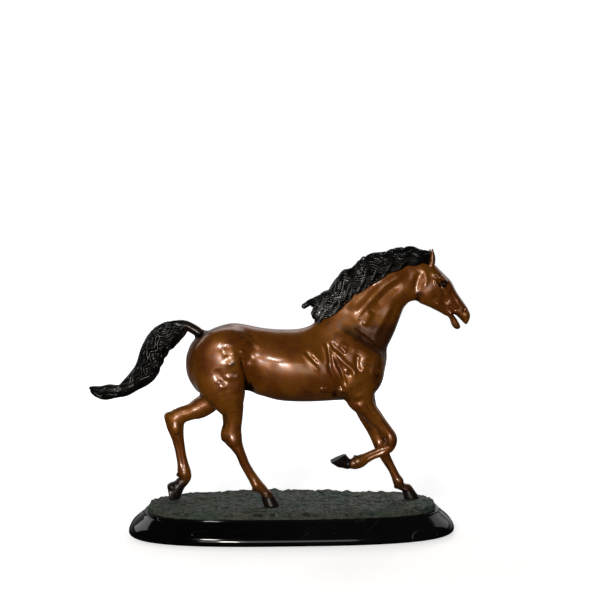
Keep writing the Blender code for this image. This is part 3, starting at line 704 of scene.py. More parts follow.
def surface(field):
    """Vertices and quads of the field's zero surface, facing out."""
    d = field.d
    inside = d < 0
    shape = np.array(d.shape)
    corners = np.zeros(shape - 1, np.uint8)
    for o in product((0, 1), repeat=3):
        corners += inside[tuple(slice(a, n - 1 + a) for a, n in zip(o, shape))]
    mixed = (corners > 0) & (corners < 8)
    cells = np.argwhere(mixed)
    index = np.full(mixed.shape, -1, np.int32)
    index[mixed] = np.arange(len(cells), dtype=np.int32)
    total = np.zeros((len(cells), 3))
    count = np.zeros(len(cells))
    for axis in range(3):
        along = np.eye(3, dtype=int)[axis]
        others = [i for i in range(3) if i != axis]
        for u, v in product((0, 1), repeat=2):
            start = cells.copy()
            start[:, others[0]] += u
            start[:, others[1]] += v
            end = start + along
            d0, d1 = d[tuple(start.T)], d[tuple(end.T)]
            crossed = (d0 < 0) != (d1 < 0)
            t = (d0 / np.where(crossed, d0 - d1, 1))[:, None]
            total[crossed] += (start + t * along)[crossed]
            count[crossed] += 1
    points = total / count[:, None] * field.step + field.low
    quads = []
    for axis in range(3):
        u, v = [i for i in range(3) if i != axis]
        first = tuple(slice(0, -1) if i == axis else slice(1, -1) for i in range(3))
        second = tuple(slice(1, None) if i == axis else slice(1, -1) for i in range(3))
        a, b = inside[first], inside[second]
        for rising in (True, False):
            edges = np.argwhere((a & ~b) if rising else (~a & b))
            edges[:, u] += 1
            edges[:, v] += 1
            back_u, back_v = np.zeros(3, int), np.zeros(3, int)
            back_u[u] = back_v[v] = 1
            ring = [edges, edges - back_u, edges - back_u - back_v, edges - back_v]
            found = np.column_stack([index[tuple(c.T)] for c in ring])
            if rising != (axis != 1):
                found = found[:, ::-1]
            quads.append(found)
    return points, np.vstack(quads)


def settle(field, points):
    """Moves points onto the surface and returns them with their normals."""
    for _ in range(2):
        slope = field.slope(points)
        size = np.maximum((slope**2).sum(1), 0.05)
        move = (field.sample(points) / size)[:, None] * slope
        points = points - np.clip(move, -field.step, field.step)
    slope = field.slope(points, field.step * 1.2)
    return points, slope / np.maximum(np.linalg.norm(slope, axis=1), 1e-6)[:, None]


def hollowness(field, points, normals, steps=(1.0, 2.0, 4.0)):
    """0 on open surface, up to 1 in deep creases."""
    total = 0
    for step in steps:
        total = total + np.clip(1 - field.sample(points + normals * step) / step, -1, 1)
    return total / len(steps)


def mesh_object(name, points, faces, shift=SHIFT):
    mesh = bpy.data.meshes.new(name)
    faces = np.asarray(faces, np.int32)
    points = (np.asarray(points) + shift) * MM
    mesh.vertices.add(len(points))
    mesh.vertices.foreach_set("co", points.astype(np.float32).ravel())
    mesh.loops.add(faces.size)
    mesh.loops.foreach_set("vertex_index", faces.ravel())
    mesh.polygons.add(len(faces))
    mesh.polygons.foreach_set("loop_start", np.arange(len(faces), dtype=np.int32) * faces.shape[1])
    mesh.update(calc_edges=True)
    mesh.validate()
    return add_object(name, mesh)


def mark(piece, name, values):
    """Writes one number per vertex for a finish to read."""
    layer = piece.data.attributes.new(name, "FLOAT", "POINT")
    layer.data.foreach_set("value", np.asarray(values, np.float32))


def casting(name, field, material, whole=None, shift=SHIFT):
    """The field's surface as a smooth mesh object. Its creases are found in the whole, uncut field."""
    points, quads = surface(field)
    points, normals = settle(field, points)
    made = mesh_object(name, points, quads, shift)
    mark(made, "crease", hollowness(whole or field, points, normals))
    smooth_shade(made, 50)
    made.data.materials.append(material)
    return made


# ---------------------------------------------------------------- where the castings part

# Each leg's sections, and the section it is parted from the torso at
LEGS = {
    "right_hind": (RIGHT_HIND, 4),
    "left_hind": (LEFT_HIND, 4),
    "right_fore": (RIGHT_FORE, 4),
    "left_fore": (LEFT_FORE, 3),
}
STUD_HOLE_DEPTH = 10.3
LAP = 2.5
SINK = 0.25
NECK_JOINT = ((36, 283), (121, 226))
DOCK_JOINT = ((-122.5, 252), (-110.5, 265))
DOCK_REACH = 3.0


def beyond(field, line):
    """Distance past a line in side view, positive on its upper right or upper left."""
    (xa, za), (xb, zb) = line
    size = math.hypot(xb - xa, zb - za)
    x, _, z = np.ix_(*field.axes)
    return (((x - xa) * (za - zb) + (z - za) * (xb - xa)) / size).astype(np.float32)


def scarf(field, past):
    """Ends a casting LAP past a joint, with its skin sunk a little so the other casting covers its end."""
    field.d = np.maximum(field.d + SINK * smoothstep(past, 0, LAP), past - LAP).astype(np.float32)


def leg_side(field, name):
    """Distance to the space that holds a leg: below its joint, on its side of the horse."""
    sections, joint = LEGS[name]
    xa, za, xb, zb, y0 = sections[joint][:5]
    line = ((xb, zb), (xa, za))
    x, y, _ = np.ix_(*field.axes)
    side = 1 if y0 > 0 else -1
    rump = 1 if xa > 0 else -1
    return np.maximum(np.maximum(beyond(field, line), 3 - side * y), 20 - rump * x).astype(np.float32)


def piece_field(node, step, room=4.0):
    """An empty grid round a CAD node."""
    low, high = node_box(node)
    return Field(low - SHIFT - room, high - SHIFT + room, step)


def dock_side(field):
    """Distance into the space of the dock, which is past its joint and close to it."""
    dock = field.part()
    chain(dock, DOCK, 0)
    return np.minimum(beyond(field, DOCK_JOINT), DOCK_REACH - dock.d)


def whole_horse(field):
    """Fills a field with the whole horse, and returns a copy to keep while the field is cut."""
    body(field)
    whole = field.part()
    whole.d = field.d.copy()
    return whole


def torso_piece(step):
    field = piece_field("torso", step)
    whole = whole_horse(field)
    for name in LEGS:
        scarf(field, -leg_side(field, name))
    scarf(field, beyond(field, NECK_JOINT))
    scarf(field, dock_side(field))
    return field, whole


def neck_piece(step):
    field = piece_field("neck_and_head", step)
    whole = whole_horse(field)
    scarf(field, -beyond(field, NECK_JOINT))
    return field, whole


def leg_piece(name, step):
    field = piece_field(f"{name}_leg", step)
    whole = whole_horse(field)
    scarf(field, leg_side(field, name))
    if name in STUDS:
        sx, sy, sole = STUDS[name]
        x, y, z = np.ix_(*field.axes)
        hole = np.maximum(np.hypot(x - sx, y - sy) - STUD_HOLE_R, z - sole - STUD_HOLE_DEPTH)
        field.d = np.maximum(field.d, -hole.astype(np.float32))
    return field, whole


# ---------------------------------------------------------------- hair

MANE_TOP = (
    (175.6, 365), (166.7, 366.4), (160.3, 368), (152.6, 371), (141.1, 370.3), (128.4, 369), (118.2, 364.8),
    (105.4, 363.6), (96.5, 361.4), (87.2, 357), (77, 344.6), (66.1, 342.4), (59.4, 334), (51, 318.6),
    (40, 314), (27, 308.4), (13.6, 300.4),
)
MANE_FOOT = (
    (174.3, 348.6), (161.6, 350), (148.9, 347.6), (136.2, 344), (123.5, 340), (110.9, 332.4), (98.2, 325),
    (85.6, 316), (72.9, 306.8), (60.3, 294.6), (47.6, 285.6), (34.9, 277.4), (24, 270.6),
)
MANE_LOCKS = 24
TAIL_LOCKS = 44
# (upper x, z, lower x, z, half width)
TAIL = (
    (-124, 273, -128, 262, 5.4), (-135.6, 277.8, -136, 262.4, 5.8), (-148.2, 278.2, -141.6, 252.4, 7.8),
    (-161.3, 276, -149.2, 244, 9.4), (-174.3, 267.2, -157, 237.6, 10.2), (-184.5, 254.8, -161.6, 229.6, 10.6),
    (-191, 240.4, -165.4, 222.4, 10.6), (-195.4, 226, -169.2, 212.6, 10.2), (-199.6, 217.4, -174, 204.4, 10),
    (-206, 209.6, -183.6, 196.4, 9.4), (-212.6, 201, -195.8, 190.2, 8.8), (-219.4, 195.4, -208.4, 183.2, 8.2),
    (-231, 196, -222.3, 180.6, 7.4), (-242.3, 193.6, -236, 178, 6.2), (-249.6, 193.8, -246, 180.8, 4.6),
    (-255, 193, -253, 188, 2.4),
)


def evenly(points, count):
    """Points at equal steps along a smooth path."""
    return resampled(smooth_path(points, 6), np.linspace(0, 1, count))


def along_curve(table, s):
    """Rows of a table at shares s of its length, carried straight on past its ends."""
    last = len(table) - 1
    place = np.asarray(s) * last
    low = np.clip(np.floor(place).astype(int), 0, last - 1)
    share = (place - low)[:, None]
    return table[low] * (1 - share) + table[low + 1] * share


def taper(count, thick, start=0.45, end=0.3):
    """Radii of a strand: thinner at both ends."""
    t = np.linspace(0, 1, count)
    return thick * np.minimum(np.minimum(start + t * 4, 1), end + (1 - t) * 2.2)


def mane_piece(step, neck):
    """Wavy locks blown back along both sides of the crest, over a solid core."""
    field = piece_field("mane", step, room=5.0)
    rng = np.random.default_rng(11)
    top, foot = evenly(MANE_TOP, 60), evenly(MANE_FOOT, 60)
    long = np.linalg.norm(np.diff((top + foot) / 2, axis=0), axis=1).sum()
    tall = 24.0

    def between(s, v):
        """Points in side view at shares s along the crest, and v of the way up from the mane's foot."""
        lower = along_curve(foot, s)
        return lower + (along_curve(top, s) - lower) * np.reshape(v, (-1, 1))

    def place(s, v, side, lift):
        wide = np.interp(s, (0, 0.1, 0.3, 0.8, 1), (7.5, 11, 12.6, 13, 10)) + lift
        bend = np.clip((v - 0.15) / 0.85, 0, 1.2)
        xz = between(s, v)
        y = side * wide * np.sqrt(np.clip(1 - bend * bend, 0.0, 1))
        return np.column_stack([xz[:, 0], y, xz[:, 1]])

    s = np.linspace(0, 0.88, 26)
    wide = np.interp(s, (0, 0.1, 0.3, 0.8, 1), (6.5, 10.4, 12, 12.4, 9))
    high = np.interp(s, (0, 0.74, 0.88), (0.89, 0.88, 0.64))
    low = np.interp(s, (0, 0.74, 0.88), (-0.24, -0.24, 0.0))
    chain(field, np.column_stack([between(s, high), between(s, low), 0 * s, wide]), 0, per_span=2)
    # Two last tufts stand out over the notch at the mane's end
    for high, low, tip, last in ((0.94, 0.72, 2.0, 1.0), (0.42, 0.06, 5.0, 0.94)):
        s = np.linspace(0.78, last, 8)
        edges = [between(s, high), between(s, low)]
        chain(field, np.column_stack([*edges, 0 * s, np.linspace(9, tip, 8)]), 1.0, per_span=2)
    for side in (-1, 1):
        for lock in range(MANE_LOCKS):
            level = (0.08 + lock * 0.618) % 1
            begin = (lock + 0.5) / MANE_LOCKS * 1.02 - 0.2 + rng.uniform(-0.02, 0.02)
            length = rng.uniform(0.34, 0.5)
            wave = rng.uniform(22, 27) / long
            phase = 1.9 * level + rng.uniform(-0.5, 0.5) + (0 if side < 0 else 1.6)
            swing = rng.uniform(2.4, 3.4) / tall
            drift = rng.uniform(-0.5, 0.35)
            lift = rng.uniform(-0.3, 1.7)
            thick = rng.uniform(1.35, 1.9)
            limit = rng.uniform(0.95, 0.98) if level < 0.5 else (0.88 if level < 0.78 else 0.98)
            for hair in range(4):
                t = np.linspace(0, 1, 26)
                s = begin + length * (1 - 0.08 * hair) * t
                last = np.searchsorted(s, limit)
                first = np.searchsorted(s, -0.01)
                if last - first < 5:
                    continue
                s, t = s[first:last], t[first:last]
                v = -0.02 + 0.96 * level + (hair - 1.5) * 0.1 * (1 - 0.45 * t) + drift * length * (t - 0.4)
                v = v + swing * np.sin(math.tau * s / wave + phase + hair * 0.2)
                v = np.clip(v, -0.05, 0.95)
                path = place(s, v, side, lift - abs(hair - 1.5) * 0.5)
                strand(field, path, taper(len(s), thick * (1 - 0.12 * abs(hair - 1.5)), 0.5, 0.55), 0.2)
    grid = np.stack(np.meshgrid(*field.axes, indexing="ij"), -1).reshape(-1, 3)
    field.d = np.maximum(field.d, -(neck.sample(grid).reshape(field.d.shape) + 0.5))
    return field


def tail_piece(step):
    """The smooth dock, and wavy locks that leave it and sweep back to the tip."""
    field = piece_field("tail", step, room=4.0)
    whole = whole_horse(field)
    scarf(field, -dock_side(field))
    hair = field.part()
    rng = np.random.default_rng(5)
    table = evenly(TAIL, 60)
    rows = along_curve(table, np.linspace(0.05, 0.97, 30))
    upper, lower = rows[:, 0:2], rows[:, 2:4]
    edges = [upper * 0.94 + lower * 0.06, lower * 0.94 + upper * 0.06]
    core = np.column_stack([*edges, 0 * rows[:, 4], rows[:, 4] - 1.2])
    chain(hair, core, 0, per_span=2)
    for lock in range(TAIL_LOCKS):
        begin = (lock / TAIL_LOCKS) ** 1.15 * 0.8 + rng.uniform(-0.02, 0.02)
        length = rng.uniform(0.34, 0.52)
        angle = lock * 2.399 + rng.uniform(-0.3, 0.3)
        wave = rng.uniform(0.1, 0.135)
        phase = 1.5 * math.sin(angle) + rng.uniform(-0.6, 0.6)
        swing = rng.uniform(0.16, 0.28)
        twist = rng.uniform(-0.5, 0.5)
        lift = rng.uniform(0.88, 1.04)
        thick = rng.uniform(1.3, 1.9)
        for hair_index in range(2):
            t = np.linspace(0, 1, 26)
            s = np.minimum(begin + length * (1 - 0.1 * hair_index) * t + hair_index * 0.01, 1.0)
            theta = angle + (hair_index - 0.5) * 0.3 + twist * t + swing * np.sin(math.tau * s / wave + phase)
            rows = along_curve(table, s)
            middle = (rows[:, 0:2] + rows[:, 2:4]) / 2
            deep = (rows[:, 0:2] - rows[:, 2:4]) / 2
            shrink = 1 - 0.5 / np.maximum(np.linalg.norm(deep, axis=1), 3)
            xz = middle + deep * (np.cos(theta) * lift * shrink)[:, None]
            y = (rows[:, 4] - 1.2) * np.sin(theta) * lift
            path = np.column_stack([xz[:, 0], y, xz[:, 1]])
            strand(hair, path, taper(26, thick), 0.25)
    field.d = soft_min(field.d, hair.d, 1.0)
    whole.d = soft_min(whole.d, hair.d, 1.0)
    return field, whole


# ---------------------------------------------------------------- ground, stone and felt

OVAL_POWER = 2.9
OVAL_POINTS = 256
STONE_TOP = MARBLE_BOX[1][2]
PLATE_HALF = PLATE_BOX[1][:2]
PLATE_SKIN = 4.5
TURF_TOP = 37.0
COUNTERBORE_R, COUNTERBORE_TOP, TAPPED_TOP, BOSS_R = 8.0, 12.0, 35.4, 7.5
STUD_GAP = 0.3
# (height, distance in from the stone's widest oval) of the stone's profile
STONE_PROFILE = (
    (1.5, 7.6), (1.6, 6.2), (2.4, 3.9), (4.0, 1.4), (6.0, 0.1), (9.5, 0.2), (13, 1.7), (16.5, 4.4),
    (20, 8.3), (23.5, 12.6), (26.4, 16.4), (28.6, 18.4), (29.8, 18.9), (30, 19.6),
)


def oval(x, y, half):
    """Near distance outside an oval with rather square ends."""
    p = OVAL_POWER
    u, v = np.abs(x / half[0]), np.abs(y / half[1])
    far = (u**p + v**p) ** (1 / p) + 1e-6
    du, dv = (u / far) ** (p - 1) / half[0], (v / far) ** (p - 1) / half[1]
    return (far - 1) / np.sqrt(du * du + dv * dv)


def ground_top(x, y):
    """The modelled turf: lumps and short ridges, worn flat under the hooves."""
    mound = 2.6 * np.exp(-(((x + 30) / 70) ** 2)) * (0.5 + y / 120)
    warp = 3.5 * lattice_noise(x / 17, y / 13, 0 * x, 21)
    lumps = 1.2 * lattice_noise(x / 22, (y + warp) / 15, 0 * x, 22)
    ridges = 1 - 2 * np.abs(lattice_noise((x + warp) / 14, (y + 0.5 * warp) / 6.4, 0 * x, 23))
    blades = 1 - 2 * np.abs(lattice_noise((x - warp) / 6.5, (y + warp) / 3.2, 0 * x, 24))
    grain = lattice_noise(x / 2.6, y / 1.9, 0 * x, 25)
    height = TURF_TOP + mound + lumps + 1.5 * ridges + 0.8 * blades + 0.5 * grain
    for pad_x, pad_y, sole in STUDS.values():
        far = np.hypot(x - pad_x, y - pad_y)
        pad = sole + SHIFT[2] - STUD_GAP
        height = pad + (height - pad) * smoothstep(far, 12, 22)
    toe_x, toe_y = -14.0, -18.0
    around = np.arctan2(y - toe_y, x - toe_x)
    far = np.hypot(x - toe_x, y - toe_y)
    fan = np.clip(1 - np.abs(far - 13) / 12, 0, 1) * np.clip(1.3 - np.abs(around + 0.5), 0, 1)
    return height + fan * (0.9 + 0.9 * np.sin(around * 17))


def ground_hollows(at, reach=3.6):
    """How far each point of the turf lies below the ground round it, in millimetres, and 0 on its side."""
    x, y, z = at.T
    turns = np.arange(8) * math.tau / 8
    around = sum(ground_top(x + reach * math.cos(a), y + reach * math.sin(a)) for a in turns) / len(turns)
    return (around - ground_top(x, y)) * smoothstep(z, 32, 35.5)


def ground_piece(step):
    field = Field((*(-PLATE_HALF - 3), STONE_TOP - 1), (*(PLATE_HALF + 3), PLATE_BOX[1][2] + 5), step)
    x, y, z = field.open_axes()
    low = PLATE_BOX[0][2]
    wobble = 1.1 * lattice_noise(x / 9, y / 9, z / 4, 31) + 0.8 * lattice_noise(x / 3.6, y / 3.6, z / 2.4, 32)
    side = oval(x, y, PLATE_HALF) + 0.6 + wobble * np.clip((z - low - 0.4) / 1.5, 0, 1)
    outer = soft_max((z - ground_top(x, y)) * 0.85, side, 4.5)
    outer = np.maximum(outer, low - z)
    inner = np.maximum(z - TURF_TOP + PLATE_SKIN, oval(x, y, PLATE_HALF - PLATE_SKIN))
    for hole_x, hole_y, radius in HOLES:
        far = np.hypot(x - hole_x, y - hole_y)
        inner = np.maximum(inner, BOSS_R - far)
        hole_top = TAPPED_TOP if radius == BOLT_HOLE_R else FAR
        outer = np.maximum(outer, -np.maximum(far - radius, z - hole_top))
    field.d = np.maximum(outer, -inner).astype(np.float32)
    return field


def oval_ring(half_x, half_y, count=OVAL_POINTS):
    """Points at equal steps round an oval."""
    angle = np.linspace(0, math.tau, 4001)[:-1]
    c, s = np.cos(angle), np.sin(angle)
    power = 2 / OVAL_POWER
    ring = np.column_stack([half * np.sign(v) * np.abs(v) ** power for half, v in ((half_x, c), (half_y, s))])
    return resampled(np.vstack([ring, ring[:1]]), np.arange(count) / count)


def turned(name, rings, per_span, material):
    """A closed solid through oval rings (height, half length, half depth), centred on the base."""
    profile = smooth_path(rings, per_span)
    loops = [np.column_stack([oval_ring(a, b), np.full(OVAL_POINTS, z)]) for z, a, b in profile]
    made = bmesh.new()
    rows = [[made.verts.new(Vector(p) * MM) for p in loop] for loop in loops]
    for lower, upper in zip(rows, rows[1:]):
        for i in range(OVAL_POINTS):
            j = (i + 1) % OVAL_POINTS
            made.faces.new((lower[i], lower[j], upper[j], upper[i]))
    made.faces.new(rows[0][::-1])
    made.faces.new(rows[-1])
    mesh = bpy.data.meshes.new(name)
    made.to_mesh(mesh)
    made.free()
    mesh.materials.append(material)
    return add_object(name, mesh)


def drill(piece, x, y, low, high, radius):
    """Cuts a round vertical hole with an exact Boolean."""
    cutter = bmesh.new()
    bmesh.ops.create_cone(cutter, cap_ends=True, segments=48, radius1=radius * MM, radius2=radius * MM,
                          depth=(high - low) * MM)
    bmesh.ops.translate(cutter, verts=cutter.verts, vec=Vector((x, y, (low + high) / 2)) * MM)
    mesh = bpy.data.meshes.new("cutter")
    cutter.to_mesh(mesh)
    cutter.free()
    tool = add_object("cutter", mesh)
    cut = piece.modifiers.new("hole", "BOOLEAN")
    cut.object, cut.operation, cut.solver = tool, "DIFFERENCE", "EXACT"
    graph = bpy.context.evaluated_depsgraph_get()
    piece.data = bpy.data.meshes.new_from_object(piece.evaluated_get(graph))
    piece.modifiers.clear()
    bpy.data.objects.remove(tool)


def smooth_shade(piece, degrees):
    piece.data.shade_smooth()
    piece.data.set_sharp_from_angle(angle=math.radians(degrees))


# ---------------------------------------------------------------- finishes


class Finish:
    """A node material under construction, with short calls for the nodes it needs."""

    def __init__(self, name):
        self.material = bpy.data.materials.new(name)
        self.material.use_nodes = True
        self.tree = self.material.node_tree
        self.skin = self.tree.nodes["Principled BSDF"]

    def node(self, kind, **settings):
        made = self.tree.nodes.new(kind)
        for key, value in settings.items():
            setattr(made, key, value)
        return made

    def link(self, source, target):
        self.tree.links.new(source, target)

    def put(self, socket, value):
        if isinstance(value, bpy.types.NodeSocket):
            self.link(value, socket)
        else:
            socket.default_value = value

    def place(self):
        return self.node("ShaderNodeTexCoord").outputs["Object"]

    def noise(self, scale, detail=4.0, rough=0.55, distortion=0.0, stretch=None):
        where = self.place()
        if stretch:
            mapping = self.node("ShaderNodeMapping")
            mapping.inputs["Scale"].default_value = stretch
            self.link(where, mapping.inputs["Vector"])
            where = mapping.outputs["Vector"]
        made = self.node("ShaderNodeTexNoise")
        self.link(where, made.inputs["Vector"])
        keys = ("Scale", "Detail", "Roughness", "Distortion")
        for key, value in zip(keys, (scale, detail, rough, distortion)):
            made.inputs[key].default_value = value
        return made.outputs["Fac"]

    def attribute(self, name):
        return self.node("ShaderNodeAttribute", attribute_name=name).outputs["Fac"]

    def math(self, operation, a, b=0.0, clamp=False):
        made = self.node("ShaderNodeMath", operation=operation, use_clamp=clamp)
        self.put(made.inputs[0], a)
        self.put(made.inputs[1], b)
        return made.outputs[0]

    def ramp(self, value, low, high, start=0.0, end=1.0):
        """Value from start to end as the input goes from low to high."""
        made = self.node("ShaderNodeMapRange", interpolation_type="SMOOTHSTEP")
        keys = ("Value", "From Min", "From Max", "To Min", "To Max")
        for key, number in zip(keys, (value, low, high, start, end)):
            self.put(made.inputs[key], number)
        return made.outputs["Result"]

    def mix(self, share, a, b):
        made = self.node("ShaderNodeMix", data_type="RGBA")
        self.put(made.inputs["Factor"], share)
        for socket, colour in ((made.inputs[6], a), (made.inputs[7], b)):
            self.put(socket, (*colour, 1) if isinstance(colour, tuple) else colour)
        return made.outputs[2]

    def bump(self, height, strength, distance):
        made = self.node("ShaderNodeBump")
        made.inputs["Strength"].default_value = strength
        made.inputs["Distance"].default_value = distance
        self.link(height, made.inputs["Height"])
        self.link(made.outputs["Normal"], self.skin.inputs["Normal"])

    def set(self, **values):
        for key, value in values.items():
            socket = self.skin.inputs[key.replace("_", " ")]
            self.put(socket, (*value, 1) if isinstance(value, tuple) else value)


BRONZE_BRIGHT = (0.22, 0.073, 0.004)
BRONZE_COAT = 0.95


def bronze(name, deep, dark, gloss, dark_coat, bright=BRONZE_BRIGHT):
    """Patinated bronze: bright on open surfaces, deep in creases as the patina's own darker colour and as
    painted shade, dark on hooves and hair.
    """
    f = Finish(name)
    patches = f.noise(28, 3, 0.5, 0.4)
    mottle = f.noise(160, 3, 0.6)
    fine = f.noise(900, 4, 0.6)
    dull = tuple(c * k for c, k in zip(bright, (0.7, 0.56, 0.7)))
    colour = f.mix(f.ramp(patches, 0.35, 0.65), bright, dull)
    colour = f.mix(f.ramp(mottle, 0.5, 0.75, 0, 0.35), colour, deep)
    crease = f.math("ADD", f.attribute("crease"), f.math("MULTIPLY", f.math("SUBTRACT", mottle, 0.5), 0.2))
    # Creases take the deep colour: partly the patina's own darker colour, partly painted shade.
    colour = f.mix(f.ramp(crease, 0.01, 0.24), colour, deep)
    rub = f.ramp(crease, -0.6, -0.16, 1, 0)
    colour = f.mix(f.math("MULTIPLY", rub, 0.25), colour, tuple(min(1, c * 1.6) for c in bright))
    # The dark colour on hooves, hair and dock, and as painted shade in the eyes and mouth.
    colour = f.mix(f.attribute("dark"), colour, dark)
    rough = f.math("ADD", gloss, f.math("MULTIPLY", f.math("SUBTRACT", mottle, 0.5), 0.2))
    rough = f.math("ADD", rough, f.ramp(crease, 0.1, 0.8, 0, 0.2), clamp=True)
    open_coat = f.ramp(crease, 0.02, 0.3, BRONZE_COAT, 0.05)
    coat = f.math("MULTIPLY", open_coat, f.ramp(f.attribute("dark"), 0, 1, 1, dark_coat))
    f.set(Base_Color=colour, Metallic=0.42, Roughness=rough, Specular_IOR_Level=0.2, Coat_Weight=coat)
    f.set(Coat_Roughness=f.ramp(mottle, 0.3, 0.7, 0.15, 0.23))
    f.bump(f.math("ADD", f.math("MULTIPLY", fine, 0.35), mottle), 0.1, 0.0004)
    return f.material


def turf():
    """Green patina on the ground casting, darker in its hollows, partly its own colour and partly painted
    shade, with a painted highlight on its ridges.
    """
    f = Finish("green_patina")
    patches = f.noise(22, 4, 0.6)
    mottle = f.noise(210, 4, 0.65)
    grain = f.noise(1100, 3, 0.7)
    crease = f.math("ADD", f.attribute("hollow"), f.math("MULTIPLY", f.math("SUBTRACT", mottle, 0.5), 0.8))
    speckle = f.noise(480, 3, 0.6)
    colour = f.mix(f.ramp(patches, 0.38, 0.62), (0.022, 0.05, 0.033), (0.05, 0.05, 0.038))
    colour = f.mix(f.ramp(mottle, 0.48, 0.62, 0, 0.7), colour, (0.085, 0.1, 0.078))
    colour = f.mix(f.ramp(speckle, 0.5, 0.36, 0, 0.75), colour, (0.008, 0.012, 0.009))
    colour = f.mix(f.ramp(f.noise(60, 3, 0.6), 0.58, 0.7, 0, 0.6), colour, (0.035, 0.02, 0.015))
    # Painted shade in the hollows, over the patina's own darker colour there.
    colour = f.mix(f.ramp(crease, 0.15, 0.9), colour, (0.004, 0.006, 0.004))
    # Painted highlight, lighter and greyer, on the ridges.
    colour = f.mix(f.ramp(crease, -1.3, -0.35, 0.6, 0), colour, (0.12, 0.14, 0.11))
    rough = f.ramp(mottle, 0.3, 0.7, 0.5, 0.75)
    f.set(Base_Color=colour, Metallic=0.25, Roughness=rough)
    f.bump(f.math("ADD", f.math("ADD", mottle, speckle), f.math("MULTIPLY", grain, 0.5)), 0.8, 0.0012)
    return f.material


def stone():
    """Polished black marble with a few thin white veins and specks."""
    f = Finish("black_marble")
    cloud = f.noise(9, 3, 0.5)
    bend = f.noise(16, 4, 0.6, 1.2)
    vein_at = f.math("ABSOLUTE", f.math("SUBTRACT", f.noise(7, 2, 0.5, 2.2, (1, 1.4, 0.9)), 0.5))
    vein = f.ramp(vein_at, 0.0, 0.0045, 1, 0)
    vein = f.math("MULTIPLY", vein, f.ramp(bend, 0.54, 0.7, 0, 0.7))
    speck = f.ramp(f.noise(240, 2, 0.5), 0.72, 0.78, 0, 0.3)
    colour = f.mix(f.ramp(cloud, 0.4, 0.7), (0.0012, 0.0012, 0.0014), (0.003, 0.0034, 0.004))
    colour = f.mix(f.math("MAXIMUM", vein, speck), colour, (0.12, 0.125, 0.12))
    f.set(Base_Color=colour, Roughness=f.ramp(cloud, 0.2, 0.8, 0.06, 0.12), Specular_IOR_Level=0.35)
    f.bump(f.noise(60, 2, 0.5), 0.04, 0.0004)
    return f.material


def felt():
    f = Finish("black_felt")
    fibre = f.noise(1500, 4, 0.8, 1.5)
    patch = f.noise(50, 3)
    colour = f.mix(f.ramp(fibre, 0.3, 0.7), (0.008, 0.008, 0.009), (0.03, 0.03, 0.032))
    colour = f.mix(f.ramp(patch, 0.5, 0.8, 0, 0.4), colour, (0.02, 0.02, 0.018))
    f.set(Base_Color=colour, Roughness=f.ramp(fibre, 0.3, 0.7, 0.85, 1.0), Sheen_Weight=0.3)
    f.bump(fibre, 0.6, 0.0005)
    return f.material


def steel():
    f = Finish("plain_steel")
    patch = f.noise(180, 4, 0.6)
    lines = f.noise(700, 3, 0.6, 0.0, (1, 1, 6))
    colour = f.mix(f.ramp(patch, 0.35, 0.7), (0.42, 0.41, 0.39), (0.3, 0.29, 0.27))
    colour = f.mix(f.ramp(patch, 0.66, 0.8, 0, 0.5), colour, (0.16, 0.1, 0.06))
    f.set(Base_Color=colour, Metallic=1.0, Roughness=f.ramp(lines, 0.3, 0.7, 0.28, 0.45))
    f.bump(lines, 0.2, 0.0003)
    return f.material


# ---------------------------------------------------------------- building the statue


def vertices(piece):
    co = np.empty(len(piece.data.vertices) * 3, np.float32)
    piece.data.vertices.foreach_get("co", co)
    return co.reshape(-1, 3) / MM - SHIFT


def stand_for(piece, node):
    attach(piece, "root")
    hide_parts(node)


def darkness(name, at):
    """How dark the patina is on each vertex of a leg: the hoof, and fading up the pastern."""
    x, z = at[:, 0], at[:, 2]
    if name == "right_fore":
        return np.maximum(smoothstep(x, 74.5, 71.5), 0.5 * smoothstep(x, 100, 76))
    if name == "left_hind":
        hoof_line = 62.6 - 0.55 * (x + 137.4)
        pastern, depth = 22, 0.95
    else:
        hoof_line = np.full(len(x), 56.3)
        pastern, depth = 20, 0.8
    fade = smoothstep(z - hoof_line, pastern, 0)
    return np.maximum(smoothstep(z - hoof_line, 2.2, -1.4), depth * fade)


def face_darkness(at):
    """Painted shade in the eye hollows, and in the open mouth and on the lower lip below it."""
    x, y, z = at.T
    eye = smoothstep(np.hypot(x - 192, z - 323.6), 4.2, 2.6) * smoothstep(np.abs(y), 7, 9)
    lip = smoothstep(z, 277, 268) * smoothstep(x, 219, 215)
    return np.maximum(0.85 * eye, 0.6 * lip)


